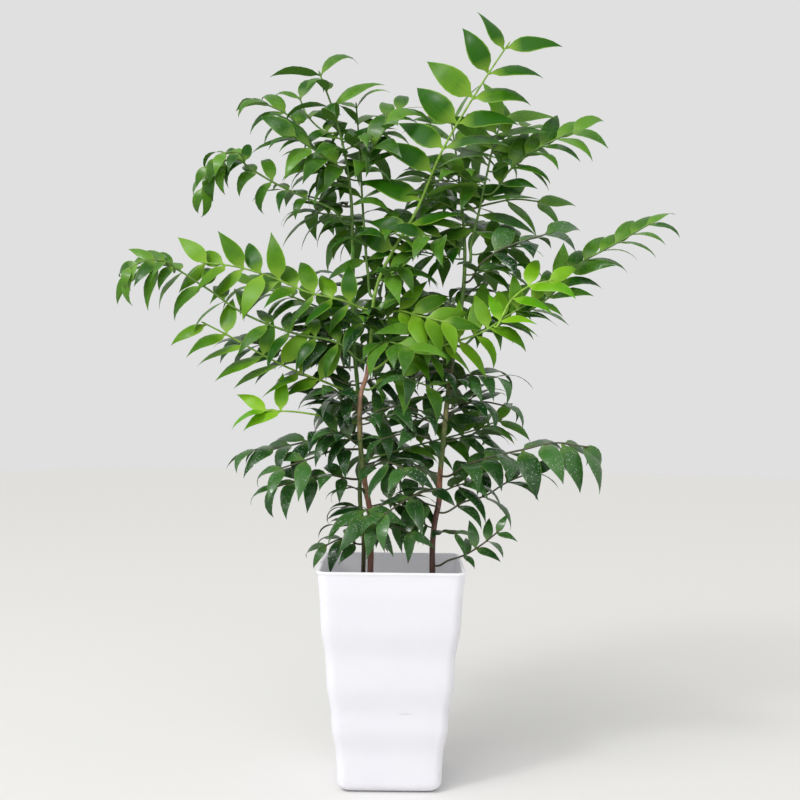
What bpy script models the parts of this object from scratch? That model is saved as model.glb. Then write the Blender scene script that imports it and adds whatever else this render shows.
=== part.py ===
"""A young nagi tree in a tall square plastic pot.

Metres, +Z up. The origin is the middle of the pot's underside, and the pot's front faces -Y.
Routes and leaf sizes are listed in millimetres, as they would be measured on the plant.
"""
import math
import random
from dataclasses import dataclass

import bmesh
import bpy
from mathutils import Matrix, Vector
from mathutils.bvhtree import BVHTree

MM = 0.001
GAP = 0.3 * MM

# Pot: tall, square in plan, its walls leaning out and swelling in soft steps
POT_HEIGHT = 262 * MM
POT_FOOT_HALF = 60.9 * MM
POT_LEAN = 0.045
POT_STEPS = ((60, 34, 4.0), (111, 36, 3.8), (178, 40, 3.9), (246, 48, 1.6))  # mid height, length, rise, mm
POT_WALL = 3 * MM
FOOT_ROUNDING = 12 * MM
LIP_HEIGHT = 3 * MM
LIP_WIDTH = 0.8 * MM
CORNER_AT_FOOT = 11 * MM
CORNER_AT_RIM = 13 * MM
CORNER_STEPS = 2
DRAIN_HOLE_RADIUS = 5 * MM
DRAIN_HOLE_PLACE = 30 * MM

# Soil: fills the pot to 30 mm under its rim
SOIL_TOP = 232 * MM
SOIL_BUMP = 1.5 * MM
HOLE_SIDES = 12

# Leaves: a short stalk, then a lance shape that is widest before its middle and bends back to its tip
STALK_SHARE = 0.07
STALK_HALF_WIDTH = 0.75 * MM
STALK_DEPTH = 1.1 * MM
BLADE_DEPTH = 0.9 * MM
LEAF_RINGS = (0.012, 0.32, 0.7)  # the first lies inside the twig
LEAF_CLEARANCE = 0.6 * MM

# Twigs: they start on their parent's surface, and one that would touch another is bent forward or back
TWIG_END_RADIUS = 0.95 * MM
TWIG_STUB = 3 * MM
TWIG_CLEARANCE = 0.7  # mm
NEAR_FOOT = 7 * MM
PROBE_STEP = 3 * MM
BENDS = (0, -6, 6, -12, 12, -18, 18, -24, 24)  # mm

TONES = {
    "young": (0.19, 0.42, 0.03, 1.0),
    "light": (0.09, 0.27, 0.02, 1.0),
    "mid": (0.05, 0.17, 0.02, 1.0),
    "dark": (0.015, 0.07, 0.015, 1.0),
}


@dataclass
class Stem:
    """A bare stem that stands in the soil: radii and route in mm, from its foot in the soil up."""

    name: str
    color: tuple
    foot: float
    end: float
    route: list


@dataclass
class Shoot:
    """A leafy stem or side twig, in mm and degrees, with its leaves in two ranks of opposite pairs."""

    name: str
    grows_from: str
    height: float  # where it leaves that stem
    route: list
    foot: float = 1.5  # radius at the foot
    pairs: int = 8
    first: float = 0.2  # share of the route that is bare
    leaf: float = 66
    slim: float = 0.16  # half width over length
    roll: float = 60  # 0 turns the leaves' faces up, 90 turns them to the front
    tilt: float = 15  # how much further up the leaves on the lower or right side face
    spread: tuple = (62, 50)  # from the twig, on its upper or left side and on the other
    whorl: float = 10  # how far each pair is turned about the twig, by turns one way and the other
    droop: float = 10  # how far the last leaves hang
    arch: float = 60  # how far a leaf bends from its stalk to its tip
    tone: str = "mid"
    goes_on: bool = False  # carries on from the stem's end


STEMS = [
    Stem("stem_left_green", (0.10, 0.20, 0.06, 1.0), 2.8, 2.4,
         [(-35, 10, 172), (-35, 10, 247), (-35, 10, 287), (-40, 10, 337), (-40, 10, 397), (-41, 10, 437),
          (-45, 10, 482), (-50, 10, 532), (-51, 10, 582), (-52, 5, 652)]),
    Stem("stem_left_brown", (0.20, 0.10, 0.06, 1.0), 4.1, 2.6,
         [(-26, -6, 172), (-26, -6, 247), (-27, -6, 322), (-35, -8, 367), (-40, -10, 412), (-41, -10, 442),
          (-39, -10, 470), (-33, -10, 489), (-30, -10, 512)]),
    Stem("stem_right_brown", (0.13, 0.07, 0.06, 1.0), 3.9, 2.8,
         [(50, 5, 172), (50, 5, 247), (50, 5, 287), (53, 5, 315), (57, 5, 335), (58, 5, 366), (60, 4, 392),
          (63, 3, 430), (67, 1, 470), (71, 0, 505), (75, 1, 530), (81, 5, 567)]),
]

SHOOTS = [
    # The leafy tops that go on from the three stems
    Shoot("top_left", "stem_left_green", 652, [(-55, 0, 712), (-64, 0, 767), (-77, -5, 812),
           (-94, -10, 857)], foot=2.4, pairs=11, first=0.03, leaf=70, slim=0.145, roll=30, spread=(80, 70),
          whorl=40, arch=98, goes_on=True),
    Shoot("leader", "stem_left_brown", 512, [(-27, -10, 547), (-25, -10, 582), (-17, -10, 612),
           (0, -15, 645), (22, -20, 682), (55, -40, 757), (90, -50, 817), (118, -58, 860), (131, -60, 879)],
          foot=2.6, pairs=9, first=0.34, leaf=78, slim=0.18, roll=80, tilt=50, spread=(80, 42), whorl=5,
          arch=66, tone="light", goes_on=True),
    Shoot("top_right", "stem_right_brown", 567, [(85, 6, 604), (86, 10, 642), (84, 15, 682), (80, 20, 722),
           (74, 25, 772), (68, 30, 812)], foot=2.7, pairs=7, first=0.35, leaf=74, roll=45, spread=(70, 65),
          whorl=30, arch=70, goes_on=True),
    # The second shoots of the two forks
    Shoot("shoot_up_left", "leader", 585, [(-33, -4, 617), (-37, 0, 657), (-41, 5, 707), (-46, 10, 782),
           (-50, 12, 825)], foot=1.9, pairs=11, first=0.2, leaf=70, slim=0.145, roll=35, spread=(76, 72),
          whorl=40, arch=95),
    Shoot("shoot_right", "top_right", 625, [(93, 0, 652), (101, -5, 687), (110, -6, 732), (120, -10, 777),
           (130, -12, 807)], foot=1.9, pairs=8, first=0.25, leaf=72, roll=50, spread=(70, 75), whorl=15,
          arch=50),
    # Sprays on the left
    Shoot("spray_left_arching", "top_left", 675, [(-75, -5, 691), (-110, -10, 705), (-145, -20, 720),
           (-172, -25, 735), (-190, -30, 746), (-210, -35, 741), (-225, -38, 725), (-230, -40, 706)],
          pairs=8, first=0.3, leaf=50, slim=0.145, roll=35, spread=(58, 60), droop=45, arch=105),
    Shoot("spray_left_row", "leader", 569, [(-60, -20, 579), (-105, -25, 589), (-145, -30, 605),
           (-190, -40, 617), (-228, -42, 621)], pairs=9, first=0.14, leaf=57, slim=0.18,
          roll=65, tilt=45, spread=(56, 58), arch=55, tone="light"),
    Shoot("spray_left_far", "stem_left_brown", 505, [(-65, -22, 527), (-120, -32, 539), (-180, -45, 562),
           (-225, -55, 592), (-270, -65, 615), (-293, -70, 613), (-308, -75, 603)], foot=1.7, pairs=10,
          first=0.14, leaf=60, slim=0.14, roll=55, tilt=30, spread=(66, 50), droop=50, arch=80),
    Shoot("spray_left_light", "stem_left_green", 470, [(-85, -10, 482), (-125, -25, 497), (-155, -40, 512),
           (-200, -60, 537), (-222, -65, 548)], pairs=7, first=0.25, leaf=60, slim=0.175,
          roll=80, tilt=40, spread=(85, 42), arch=52, tone="light"),
    Shoot("spray_left_sprig", "stem_left_green", 432, [(-75, -10, 438), (-118, -30, 445), (-152, -45, 446)],
          pairs=2, first=0.84, leaf=58, roll=60, spread=(85, 20), droop=10, tone="young"),
    Shoot("spray_left_dark", "stem_left_green", 419, [(-72, -2, 419), (-105, -12, 409), (-135, -22, 402),
           (-165, -30, 399)], pairs=6, leaf=60, slim=0.145, roll=17, droop=12, arch=95, tone="dark"),
    Shoot("spray_left_dark_front", "stem_left_green", 399, [(-70, -20, 399), (-100, -42, 389),
           (-130, -60, 379)], pairs=4, leaf=60, slim=0.145, roll=17, droop=12, arch=95, tone="dark"),
    Shoot("spray_left_low", "stem_left_green", 362, [(-80, -20, 369), (-110, -40, 364), (-136, -55, 357)],
          pairs=5, leaf=56, slim=0.145, roll=27, droop=22, arch=88, tone="dark"),
    Shoot("spray_left_rim", "stem_left_green", 282, [(-60, -5, 291), (-80, -10, 283)], foot=1.3, pairs=3,
          leaf=46, slim=0.145, roll=37, droop=27, arch=82, tone="dark"),
    # Sprays at the top
    Shoot("spray_top_left", "top_left", 729, [(-90, 0, 754), (-112, 0, 784), (-135, 0, 809),
           (-158, -5, 819)], pairs=6, first=0.2, leaf=68, slim=0.145, roll=35, whorl=20, arch=88),
    Shoot("spray_top_back_left", "top_left", 697, [(-95, 38, 712), (-138, 70, 727)], pairs=2, leaf=60,
          slim=0.145, roll=15, arch=88, tone="dark"),
    Shoot("spray_top_outer", "top_left", 787, [(-108, 8, 807), (-120, 14, 832)], foot=1.3, pairs=3, leaf=62,
          slim=0.16, roll=40, spread=(70, 72), arch=88),
    Shoot("spray_top_front", "shoot_up_left", 742, [(-28, -25, 762), (-12, -45, 782)], foot=1.3, pairs=3,
          leaf=66, roll=45, arch=82),
    Shoot("spray_top_middle", "shoot_up_left", 777, [(-22, 20, 803), (2, 30, 823)], foot=1.3, pairs=4,
          leaf=66, slim=0.145, roll=35, arch=95),
    # Sprays on the right
    Shoot("spray_right_top", "shoot_right", 712, [(138, -15, 740), (162, -25, 759), (190, -35, 773),
           (212, -40, 782)], pairs=6, leaf=64, roll=45, spread=(50, 45), arch=70),
    Shoot("spray_right_upper", "shoot_right", 762, [(140, 5, 787), (158, 15, 799)], foot=1.3, pairs=3,
          leaf=62, roll=50),
    Shoot("spray_right_back", "top_right", 697, [(118, 30, 707), (150, 30, 713), (178, 22, 709)], pairs=3,
          leaf=66, roll=45),
    Shoot("spray_right_glossy", "top_right", 605, [(105, -20, 627), (126, -32, 641), (152, -46, 650),
           (178, -56, 657)], pairs=4, leaf=70, slim=0.18, roll=27, arch=82, tone="dark"),
    Shoot("spray_right_far", "stem_right_brown", 527, [(105, 8, 545), (140, 0, 559), (185, -15, 585),
           (218, -20, 623), (262, -30, 649), (306, -35, 675)], foot=1.7, pairs=12, first=0.15, leaf=56,
          roll=40, spread=(40, 36), arch=66),
    Shoot("spray_right_light", "stem_left_brown", 497, [(0, -30, 513), (40, -40, 521), (72, -42, 530),
           (105, -50, 542), (135, -55, 562), (165, -60, 579)], foot=1.7, pairs=9, first=0.28, leaf=52,
          roll=75, tilt=50, spread=(75, 55), tone="light"),
    Shoot("spray_right_young", "spray_right_light", 549, [(138, -62, 580), (156, -70, 594), (180, -78, 600)],
          foot=1.2, pairs=4, first=0.2, leaf=52, roll=50, spread=(62, 40), tone="young"),
    # Sprays that fill the middle, towards the front
    Shoot("spray_middle_top", "top_right", 647, [(60, -12, 657), (38, -35, 657)], foot=1.3, pairs=3,
          leaf=60, roll=45),
    Shoot("spray_middle", "leader", 552, [(0, -25, 567), (30, -45, 560), (58, -56, 553)], pairs=5, leaf=58,
          roll=60, tone="light"),
    Shoot("spray_middle_front", "leader", 527, [(-8, -45, 529), (16, -86, 521)], pairs=4, leaf=62, roll=35),
    Shoot("spray_middle_right", "stem_right_brown", 497, [(48, -38, 495), (18, -72, 485)], pairs=3, leaf=58,
          slim=0.145, roll=17, arch=88, tone="dark"),
    Shoot("spray_middle_low", "stem_left_brown", 473, [(-10, -28, 485), (15, -46, 485), (42, -56, 477)],
          pairs=3, leaf=60, roll=40, arch=70),
    Shoot("spray_centre", "stem_left_brown", 437, [(-15, -22, 448), (12, -38, 453), (36, -50, 447)],
          pairs=3, leaf=56, slim=0.145, roll=17, arch=88, tone="dark"),
    Shoot("spray_centre_low", "stem_right_brown", 405, [(40, -22, 416), (12, -36, 420), (-14, -44, 414)],
          pairs=3, leaf=56, slim=0.145, roll=20, arch=82, tone="dark"),
    # Sprays low on the right
    Shoot("spray_right_middle", "stem_right_brown", 475, [(90, -15, 491), (122, -30, 489)], pairs=4,
          leaf=58, slim=0.145, roll=17, arch=88, tone="dark"),
    Shoot("spray_right_lower", "stem_right_brown", 445, [(90, -5, 457), (112, -10, 459), (134, -12, 455)],
          pairs=3, leaf=57, slim=0.145, roll=17, arch=88, tone="dark"),
    Shoot("spray_right_crossing", "stem_left_brown", 387, [(10, 22, 399), (60, 32, 412), (100, 35, 423),
           (135, 35, 437)], pairs=6, first=0.3, leaf=58, roll=40, arch=70),
    Shoot("spray_right_low", "stem_right_brown", 367, [(90, -15, 383), (118, -25, 393), (155, -40, 403),
           (192, -55, 412), (226, -65, 408)], pairs=7, leaf=68, slim=0.18, roll=27, spread=(60, 55),
          droop=42, arch=82, tone="dark"),
    Shoot("spray_right_thin", "stem_right_brown", 322, [(88, 5, 336), (112, 5, 343), (140, 0, 361),
           (172, -5, 375)], foot=1.3, pairs=4, leaf=56, slim=0.145, roll=27, droop=17, arch=82, tone="dark"),
    Shoot("spray_right_rim", "stem_right_brown", 257, [(68, -6, 265), (88, -12, 273), (107, -20, 286),
           (127, -30, 304)], foot=1.3, pairs=4, first=0.45, leaf=36, roll=45, arch=70, tone="dark"),
    # Sprays low in front, over the rim
    Shoot("spray_front_right", "stem_right_brown", 352, [(45, -25, 353), (15, -60, 343), (-8, -86, 329)],
          pairs=3, leaf=58, slim=0.145, roll=22, droop=22, arch=82, tone="dark"),
    Shoot("spray_front", "stem_left_brown", 377, [(-10, -40, 387), (12, -76, 382)], pairs=3, leaf=62,
          slim=0.145, roll=22, droop=17, arch=82, tone="dark"),
    Shoot("spray_front_low", "stem_left_brown", 325, [(-30, -40, 329), (-24, -74, 319)], foot=1.3, pairs=4,
          leaf=62, slim=0.145, roll=27, droop=37, arch=82, tone="dark"),
    Shoot("spray_front_rim", "stem_left_brown", 302, [(0, -28, 309), (20, -56, 305)], foot=1.3, pairs=2,
          leaf=46, slim=0.145, roll=32, droop=32, arch=82, tone="dark"),
    # Sprays at the back
    Shoot("spray_back_left", "stem_left_green", 597, [(-62, 50, 615), (-78, 92, 625)], pairs=2, leaf=62,
          slim=0.145, roll=15, arch=82, tone="dark"),
    Shoot("spray_back_top", "leader", 657, [(20, 28, 677), (40, 58, 694)], foot=1.3, pairs=3, leaf=60,
          roll=30),
    Shoot("spray_back_right", "top_right", 592, [(108, 42, 607), (128, 86, 617)], pairs=2, leaf=62,
          slim=0.145, roll=15, arch=82, tone="dark"),
    Shoot("spray_back_middle", "stem_left_green", 447, [(-30, 48, 457), (-10, 86, 459)], pairs=2, leaf=60,
          slim=0.145, roll=15, arch=82, tone="dark"),
    Shoot("spray_back_low", "stem_right_brown", 432, [(76, 42, 445), (90, 80, 449)], pairs=2, leaf=60,
          slim=0.145, roll=15, arch=82, tone="dark"),
]


def smooth_step(share):
    """0 below 0 and 1 above 1, with level ends."""
    share = min(max(share, 0.0), 1.0)
    return share * share * (3 - 2 * share)


# Tools for making objects


def add_object(name, mesh, collection):
    """Link a new object with this mesh."""
    thing = bpy.data.objects.new(name, mesh)
    collection.objects.link(thing)
    return thing


def add_material(thing, color, roughness):
    """Give the object a plain material of its own."""
    material = bpy.data.materials.new(thing.name)
    material.use_nodes = True
    shader = material.node_tree.nodes["Principled BSDF"]
    shader.inputs["Base Color"].default_value = color
    shader.inputs["Roughness"].default_value = roughness
    shader.inputs["Metallic"].default_value = 0.0
    material.diffuse_color = color
    thing.data.materials.append(material)


def evaluated_mesh(thing):
    """The object's mesh with its modifiers applied, or a curve's surface with its caps welded."""
    evaluated = thing.evaluated_get(bpy.context.evaluated_depsgraph_get())
    mesh = bpy.data.meshes.new_from_object(evaluated)
    bm = bmesh.new()
    bm.from_mesh(mesh)
    bmesh.ops.remove_doubles(bm, verts=bm.verts, dist=0.001 * MM)
    bm.to_mesh(mesh)
    bm.free()
    return mesh


def cut(thing, cutter):
    """Cut the object with a hidden cutter."""
    cutter.hide_render = True
    cutter.display_type = "WIRE"
    for collection in cutter.users_collection:
        collection.objects.unlink(cutter)
    cutters.objects.link(cutter)
    modifier = thing.modifiers.new("cut " + cutter.name, "BOOLEAN")
    modifier.operation = "DIFFERENCE"
    modifier.solver = "EXACT"
    modifier.object = cutter


def add_hole_cutter(name, radius, bottom, top, place):
    """A cylinder that stands at this place, to cut with."""
    middle = (place[0], place[1], (top + bottom) / 2)
    depth = top - bottom
    bpy.ops.mesh.primitive_cylinder_add(vertices=HOLE_SIDES, radius=radius, depth=depth, location=middle)
    cutter = bpy.context.object
    cutter.name = name
    return cutter


# Pot and soil


def pot_half_width(height):
    """Half the pot's outer width at this height."""
    half = POT_FOOT_HALF + POT_LEAN * height
    for middle, length, rise in POT_STEPS:
        half += rise * MM * smooth_step((height / MM - middle) / length + 0.5)
    return half


def pot_ring(height, half, inset):
    """The corners of the pot's rounded square, its half width given and its corners drawn in by inset."""
    share = height / POT_HEIGHT
    corner = CORNER_AT_FOOT + (CORNER_AT_RIM - CORNER_AT_FOOT) * share - inset
    points = []
    for quarter in range(4):
        middle = Vector((half - corner, half - corner, 0))
        for step in range(CORNER_STEPS + 1):
            angle = math.radians(90 * step / CORNER_STEPS)
            point = middle + corner * Vector((math.cos(angle), math.sin(angle), 0))
            turned = Matrix.Rotation(math.radians(90 * quarter), 3, "Z") @ point
            points.append(turned + Vector((0, 0, height)))
    return points


def pot_rings(inset, top):
    """Rings up the pot's outside from its underside to this height, or up a surface that far inside it."""
    rings = []
    half_above = pot_half_width(FOOT_ROUNDING)
    for degrees in (0, 30, 60):
        angle = math.radians(degrees)
        rings.append(pot_ring(
            FOOT_ROUNDING - (FOOT_ROUNDING - inset) * math.cos(angle),
            half_above - FOOT_ROUNDING + (FOOT_ROUNDING - inset) * math.sin(angle),
            inset))
    step_ends = [(middle + side * length / 2) * MM for middle, length, rise in POT_STEPS for side in (-1, 1)]
    for height in (FOOT_ROUNDING, *(end for end in step_ends if end < top), top):
        rings.append(pot_ring(height, pot_half_width(height) - inset, inset))
    return rings


def loft(name, rings, collection):
    """A closed body through rings of equally many points, from its underside on."""
    bm = bmesh.new()
    rows = [[bm.verts.new(point) for point in ring] for ring in rings]
    for low, high in zip(rows, rows[1:]):
        for index in range(len(low)):
            after = (index + 1) % len(low)
            bm.faces.new((low[index], low[after], high[after], high[index]))
    bm.faces.new(reversed(rows[0]))
    bm.faces.new(rows[-1])
    mesh = bpy.data.meshes.new(name)
    bm.to_mesh(mesh)
    bm.free()
    return add_object(name, mesh, collection)


def build_pot():
    """The moulded shell: up the outside, over the lip and down the inside to the floor."""
    under_lip = POT_HEIGHT - LIP_HEIGHT
    outside = pot_rings(0.0, under_lip)
    lip_half = pot_half_width(POT_HEIGHT) + LIP_WIDTH
    lip = [pot_ring(under_lip, lip_half, -LIP_WIDTH), pot_ring(POT_HEIGHT, lip_half, -LIP_WIDTH),
           pot_ring(POT_HEIGHT, pot_half_width(POT_HEIGHT) - POT_WALL, POT_WALL)]
    inside = pot_rings(POT_WALL, under_lip)
    pot = loft("pot", outside + lip + inside[::-1], parts)
    for side_x in (-1, 1):
        for side_y in (-1, 1):
            place = (side_x * DRAIN_HOLE_PLACE, side_y * DRAIN_HOLE_PLACE)
            name = f"drain hole {side_x:+d} {side_y:+d}"
            cut(pot, add_hole_cutter(name, DRAIN_HOLE_RADIUS, -POT_WALL, 2 * POT_WALL, place))
    pot.data.shade_smooth()
    pot.data.set_sharp_from_angle(angle=math.radians(40))
    add_material(pot, (0.88, 0.88, 0.91, 1.0), 0.35)
    return pot


def build_soil():
    """The soil, 0.3 mm clear of the pot, its top a little uneven, with a plain hole for each stem."""
    inset = POT_WALL + GAP
    rings = pot_rings(inset, SOIL_TOP)
    edge = rings[-1]
    for share in (0.7, 0.4, 0.15):
        ring = [Vector((point.x * share, point.y * share, point.z)) for point in edge]
        for point in ring:
            point.z += SOIL_BUMP * (math.sin(point.x * 170) + math.cos(point.y * 130 + 1))
        rings.append(ring)
    soil = loft("soil", rings, parts)
    for stem in STEMS:
        place = Vector(stem.route[0]) * MM
        radius = (stem.foot + 0.5) * MM
        cut(soil, add_hole_cutter("hole " + stem.name, radius, place.z - GAP, POT_HEIGHT, place))
    add_material(soil, (0.045, 0.03, 0.02, 1.0), 0.95)
    return soil


# Stems and twigs


def search_tree(mesh):
    """A tree in millimetres to look for crossings with: metres are too coarse for such thin things."""
    return BVHTree.FromPolygons(
        [vertex.co / MM for vertex in mesh.vertices], [face.vertices[:] for face in mesh.polygons])


class Twig:
    """A tapering tube along a route: its line, radii, mesh and search tree."""

    def __init__(self, name, line, foot, end, sides_step):
        self.name = name
        self.line = line
        lengths = [0.0]
        for low, high in zip(line, line[1:]):
            lengths.append(lengths[-1] + (high - low).length)
        self.length = lengths[-1]
        self.shares = [length / self.length for length in lengths]
        self.foot = foot
        self.end = end
        self.mesh = self.tube(sides_step)
        self.tree = search_tree(self.mesh)

    def radius(self, share):
        """The tube's radius at this share of its length."""
        return self.foot + (self.end - self.foot) * share

    def tube(self, sides_step):
        """The tube's mesh, from a curve with a bevel."""
        curve = bpy.data.curves.new(self.name, "CURVE")
        curve.dimensions = "3D"
        curve.bevel_depth = MM
        curve.bevel_resolution = sides_step
        curve.use_fill_caps = True
        spline = curve.splines.new("POLY")
        spline.points.add(len(self.line) - 1)
        for point, place, share in zip(spline.points, self.line, self.shares):
            point.co = (*place, 1.0)
            point.radius = self.radius(share) / MM
        guide = add_object(self.name + " route", curve, parts)
        mesh = evaluated_mesh(guide)
        bpy.data.objects.remove(guide)
        bpy.data.curves.remove(curve)
        return mesh

    def at(self, share):
        """Place and direction at this share of the length."""
        for index in range(len(self.line) - 1):
            if share <= self.shares[index + 1] or index == len(self.line) - 2:
                low, high = self.line[index], self.line[index + 1]
                part = (share - self.shares[index]) / (self.shares[index + 1] - self.shares[index])
                return low.lerp(high, part), (high - low).normalized()

    def at_height(self, height):
        """The axis where it passes this height."""
        for low, high in zip(self.line, self.line[1:]):
            if low.z <= height <= high.z:
                return low.lerp(high, (height - low.z) / (high.z - low.z))
        return self.line[-1]


def clear_line(line, radius, others, parent):
    """Whether a twig along this line misses every other one, away from its own foot."""
    for low, high in zip(line, line[1:]):
        steps = max(2, int((high - low).length / PROBE_STEP))
        for step in range(steps):
            point = low.lerp(high, step / steps)
            near_foot = (point - line[0]).length < NEAR_FOOT
            for other in others:
                if other is parent and near_foot:
                    continue
                if other.tree.find_nearest(point / MM, radius / MM + TWIG_CLEARANCE)[0] is not None:
                    return False
    return True


def twig_line(shoot, parent, twigs):
    """The shoot's route, from the surface of what it grows from, bent clear of the twigs before it."""
    points = [Vector(point) * MM for point in shoot.route]
    if shoot.goes_on:
        end, direction = parent.at(1.0)
        return [end + direction * GAP, *points]
    axis = parent.at_height(shoot.height * MM)
    outward = points[0] - axis
    outward = Vector((outward.x, outward.y, 0.15 * outward.length)).normalized()
    hit, normal, _, _ = parent.tree.ray_cast(axis / MM + outward * 20, -outward)
    foot = [hit * MM + normal * GAP, hit * MM + normal * (GAP + TWIG_STUB)]
    for bend in BENDS:
        bent = []
        for index, point in enumerate(points):
            share = (index + 1) / len(points)
            bent.append(point + Vector((0, bend * MM * math.sin(math.pi * share * 0.85), 0)))
        line = foot + bent
        if clear_line(line, shoot.foot * MM, twigs, parent):
            return line
    print("twig crosses another:", shoot.name)
    return line


# Leaves


@dataclass
class Blade:
    """What a leaf measures: metres, radians, and half its width over its length."""

    length: float
    slim: float
    arch: float
    sway: float

    def half_width(self, share):
        """Half the width at this share of the length."""
        if share <= STALK_SHARE:
            return STALK_HALF_WIDTH
        along = (share - STALK_SHARE) / (1 - STALK_SHARE)
        outline = (along / 0.33) ** 0.66 * ((1 - along) / 0.67) ** 1.34
        return STALK_HALF_WIDTH * (1 - share) + self.slim * self.length * outline

    def midrib(self, share):
        """How far along and up the middle line is, and its slope, at this share of the length."""
        steps = 12
        along, up = 0.0, 0.0
        for step in range(steps):
            slope = -self.arch * (((step + 0.5) / steps * share) ** 1.4 - 0.2)
            along += math.cos(slope) * share * self.length / steps
            up += math.sin(slope) * share * self.length / steps
        return along, up, -self.arch * (share ** 1.4 - 0.2)

    def smaller(self, size):
        """The same leaf at this share of its size."""
        return Blade(self.length * size, self.slim, self.arch, self.sway)


def leaf_bmesh(blade, grow=0.0):
    """A leaf from its root at the origin along +Y, upper face up: a three-sided ball drawn to its outline.

    Where grow is given it is a four-sided hull that lies about that far outside the leaf.
    """
    sides = 4 if grow else 3
    bm = bmesh.new()
    bmesh.ops.create_uvsphere(bm, u_segments=sides, v_segments=len(LEAF_RINGS) + 1, radius=1.0)
    levels = sorted({round(vertex.co.z, 4) for vertex in bm.verts})
    shares = dict(zip(levels, (0.0, *LEAF_RINGS, 1.0)))
    for vertex in bm.verts:
        share = shares[round(vertex.co.z, 4)]
        along, up, slope = blade.midrib(share)
        across, depth = 0.0, 0.0
        if share == 1.0:
            along += 3 * grow * math.cos(slope)
            up += 3 * grow * math.sin(slope)
        elif share > 0.0:
            half = blade.half_width(share) + grow
            keel = (STALK_DEPTH if share <= STALK_SHARE else BLADE_DEPTH) + grow
            corners = ((half, 0.0), (0.0, grow), (-half, 0.0), (0.0, -keel)) if grow else (
                (0.0, -keel), (half, 0.0), (-half, 0.0))
            turn = math.atan2(vertex.co.y, vertex.co.x) / math.tau
            across, depth = corners[round(turn * sides) % sides]
        across += blade.sway * blade.length * share ** 2
        vertex.co = (across, along - depth * math.sin(slope), up + depth * math.cos(slope))
    if bm.calc_volume(signed=True) < 0:
        bmesh.ops.reverse_faces(bm, faces=bm.faces)
    return bm


def leaf_place(root, direction, plane, front, turn, roll):
    """The matrix that stands a leaf on its root: turned in the spray's plane, facing the light, rolled."""
    direction = Matrix.Rotation(turn, 3, plane) @ direction
    up = (front - direction * front.dot(direction)).normalized()
    up = Matrix.Rotation(roll, 3, direction) @ up
    across = direction.cross(up)
    place = Matrix((across, direction, up)).transposed().to_4x4()
    place.translation = root
    return place


def tree_of(bm, place, skip_root=False):
    """A search tree of a leaf where it stands, or of all but the end at its root."""
    points = [place @ vertex.co / MM for vertex in bm.verts]
    bm.verts.index_update()
    root = min(bm.verts, key=lambda vertex: vertex.co.length)
    near = {root.index}
    if skip_root:
        near |= {edge.other_vert(root).index for edge in root.link_edges}
    faces = []
    for face in bm.faces:
        corners = [vertex.index for vertex in face.verts]
        if not skip_root or not near & set(corners):
            faces.append(corners)
    return BVHTree.FromPolygons(points, faces)


class Leaf:
    """A leaf that has found its place."""

    def __init__(self, owner, blade, place):
        self.owner = owner
        self.blade = blade
        self.place = place
        bm = leaf_bmesh(blade)
        self.middle = place @ Vector((0, blade.length / 2, 0))
        self.tree = tree_of(bm, place)
        self.outer = tree_of(bm, place, skip_root=True)
        bm.free()


def trials():
    """Small changes of turn, roll and size, the least first, that a leaf tries until it is clear."""
    changes = [(turn, roll) for turn in (0, 9, -9, 18, -18) for roll in (0, 14, -14, 28, -28)]
    changes.sort(key=lambda change: abs(change[0]) * 1.4 + abs(change[1]))
    for size in (1.0, 0.88, 0.76):
        for turn, roll in changes:
            yield math.radians(turn), math.radians(roll), size


def is_clear(owner, blade, place, twigs, leaves, solids):
    """Whether a leaf there misses all else but what it grows on."""
    bm = leaf_bmesh(blade, LEAF_CLEARANCE)
    fat = tree_of(bm, place)
    outer = tree_of(bm, place, skip_root=True)
    bm.free()
    if any(fat.overlap(solid) for solid in solids):
        return False
    for twig in twigs:
        if (outer if twig.name == owner else fat).overlap(twig.tree):
            return False
    middle = place @ Vector((0, blade.length / 2, 0))
    for leaf in leaves:
        if (leaf.middle - middle).length > (leaf.blade.length + blade.length) * 0.6:
            continue
        if (outer.overlap(leaf.outer) if leaf.owner == owner else fat.overlap(leaf.tree)):
            return False
    return True


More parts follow.
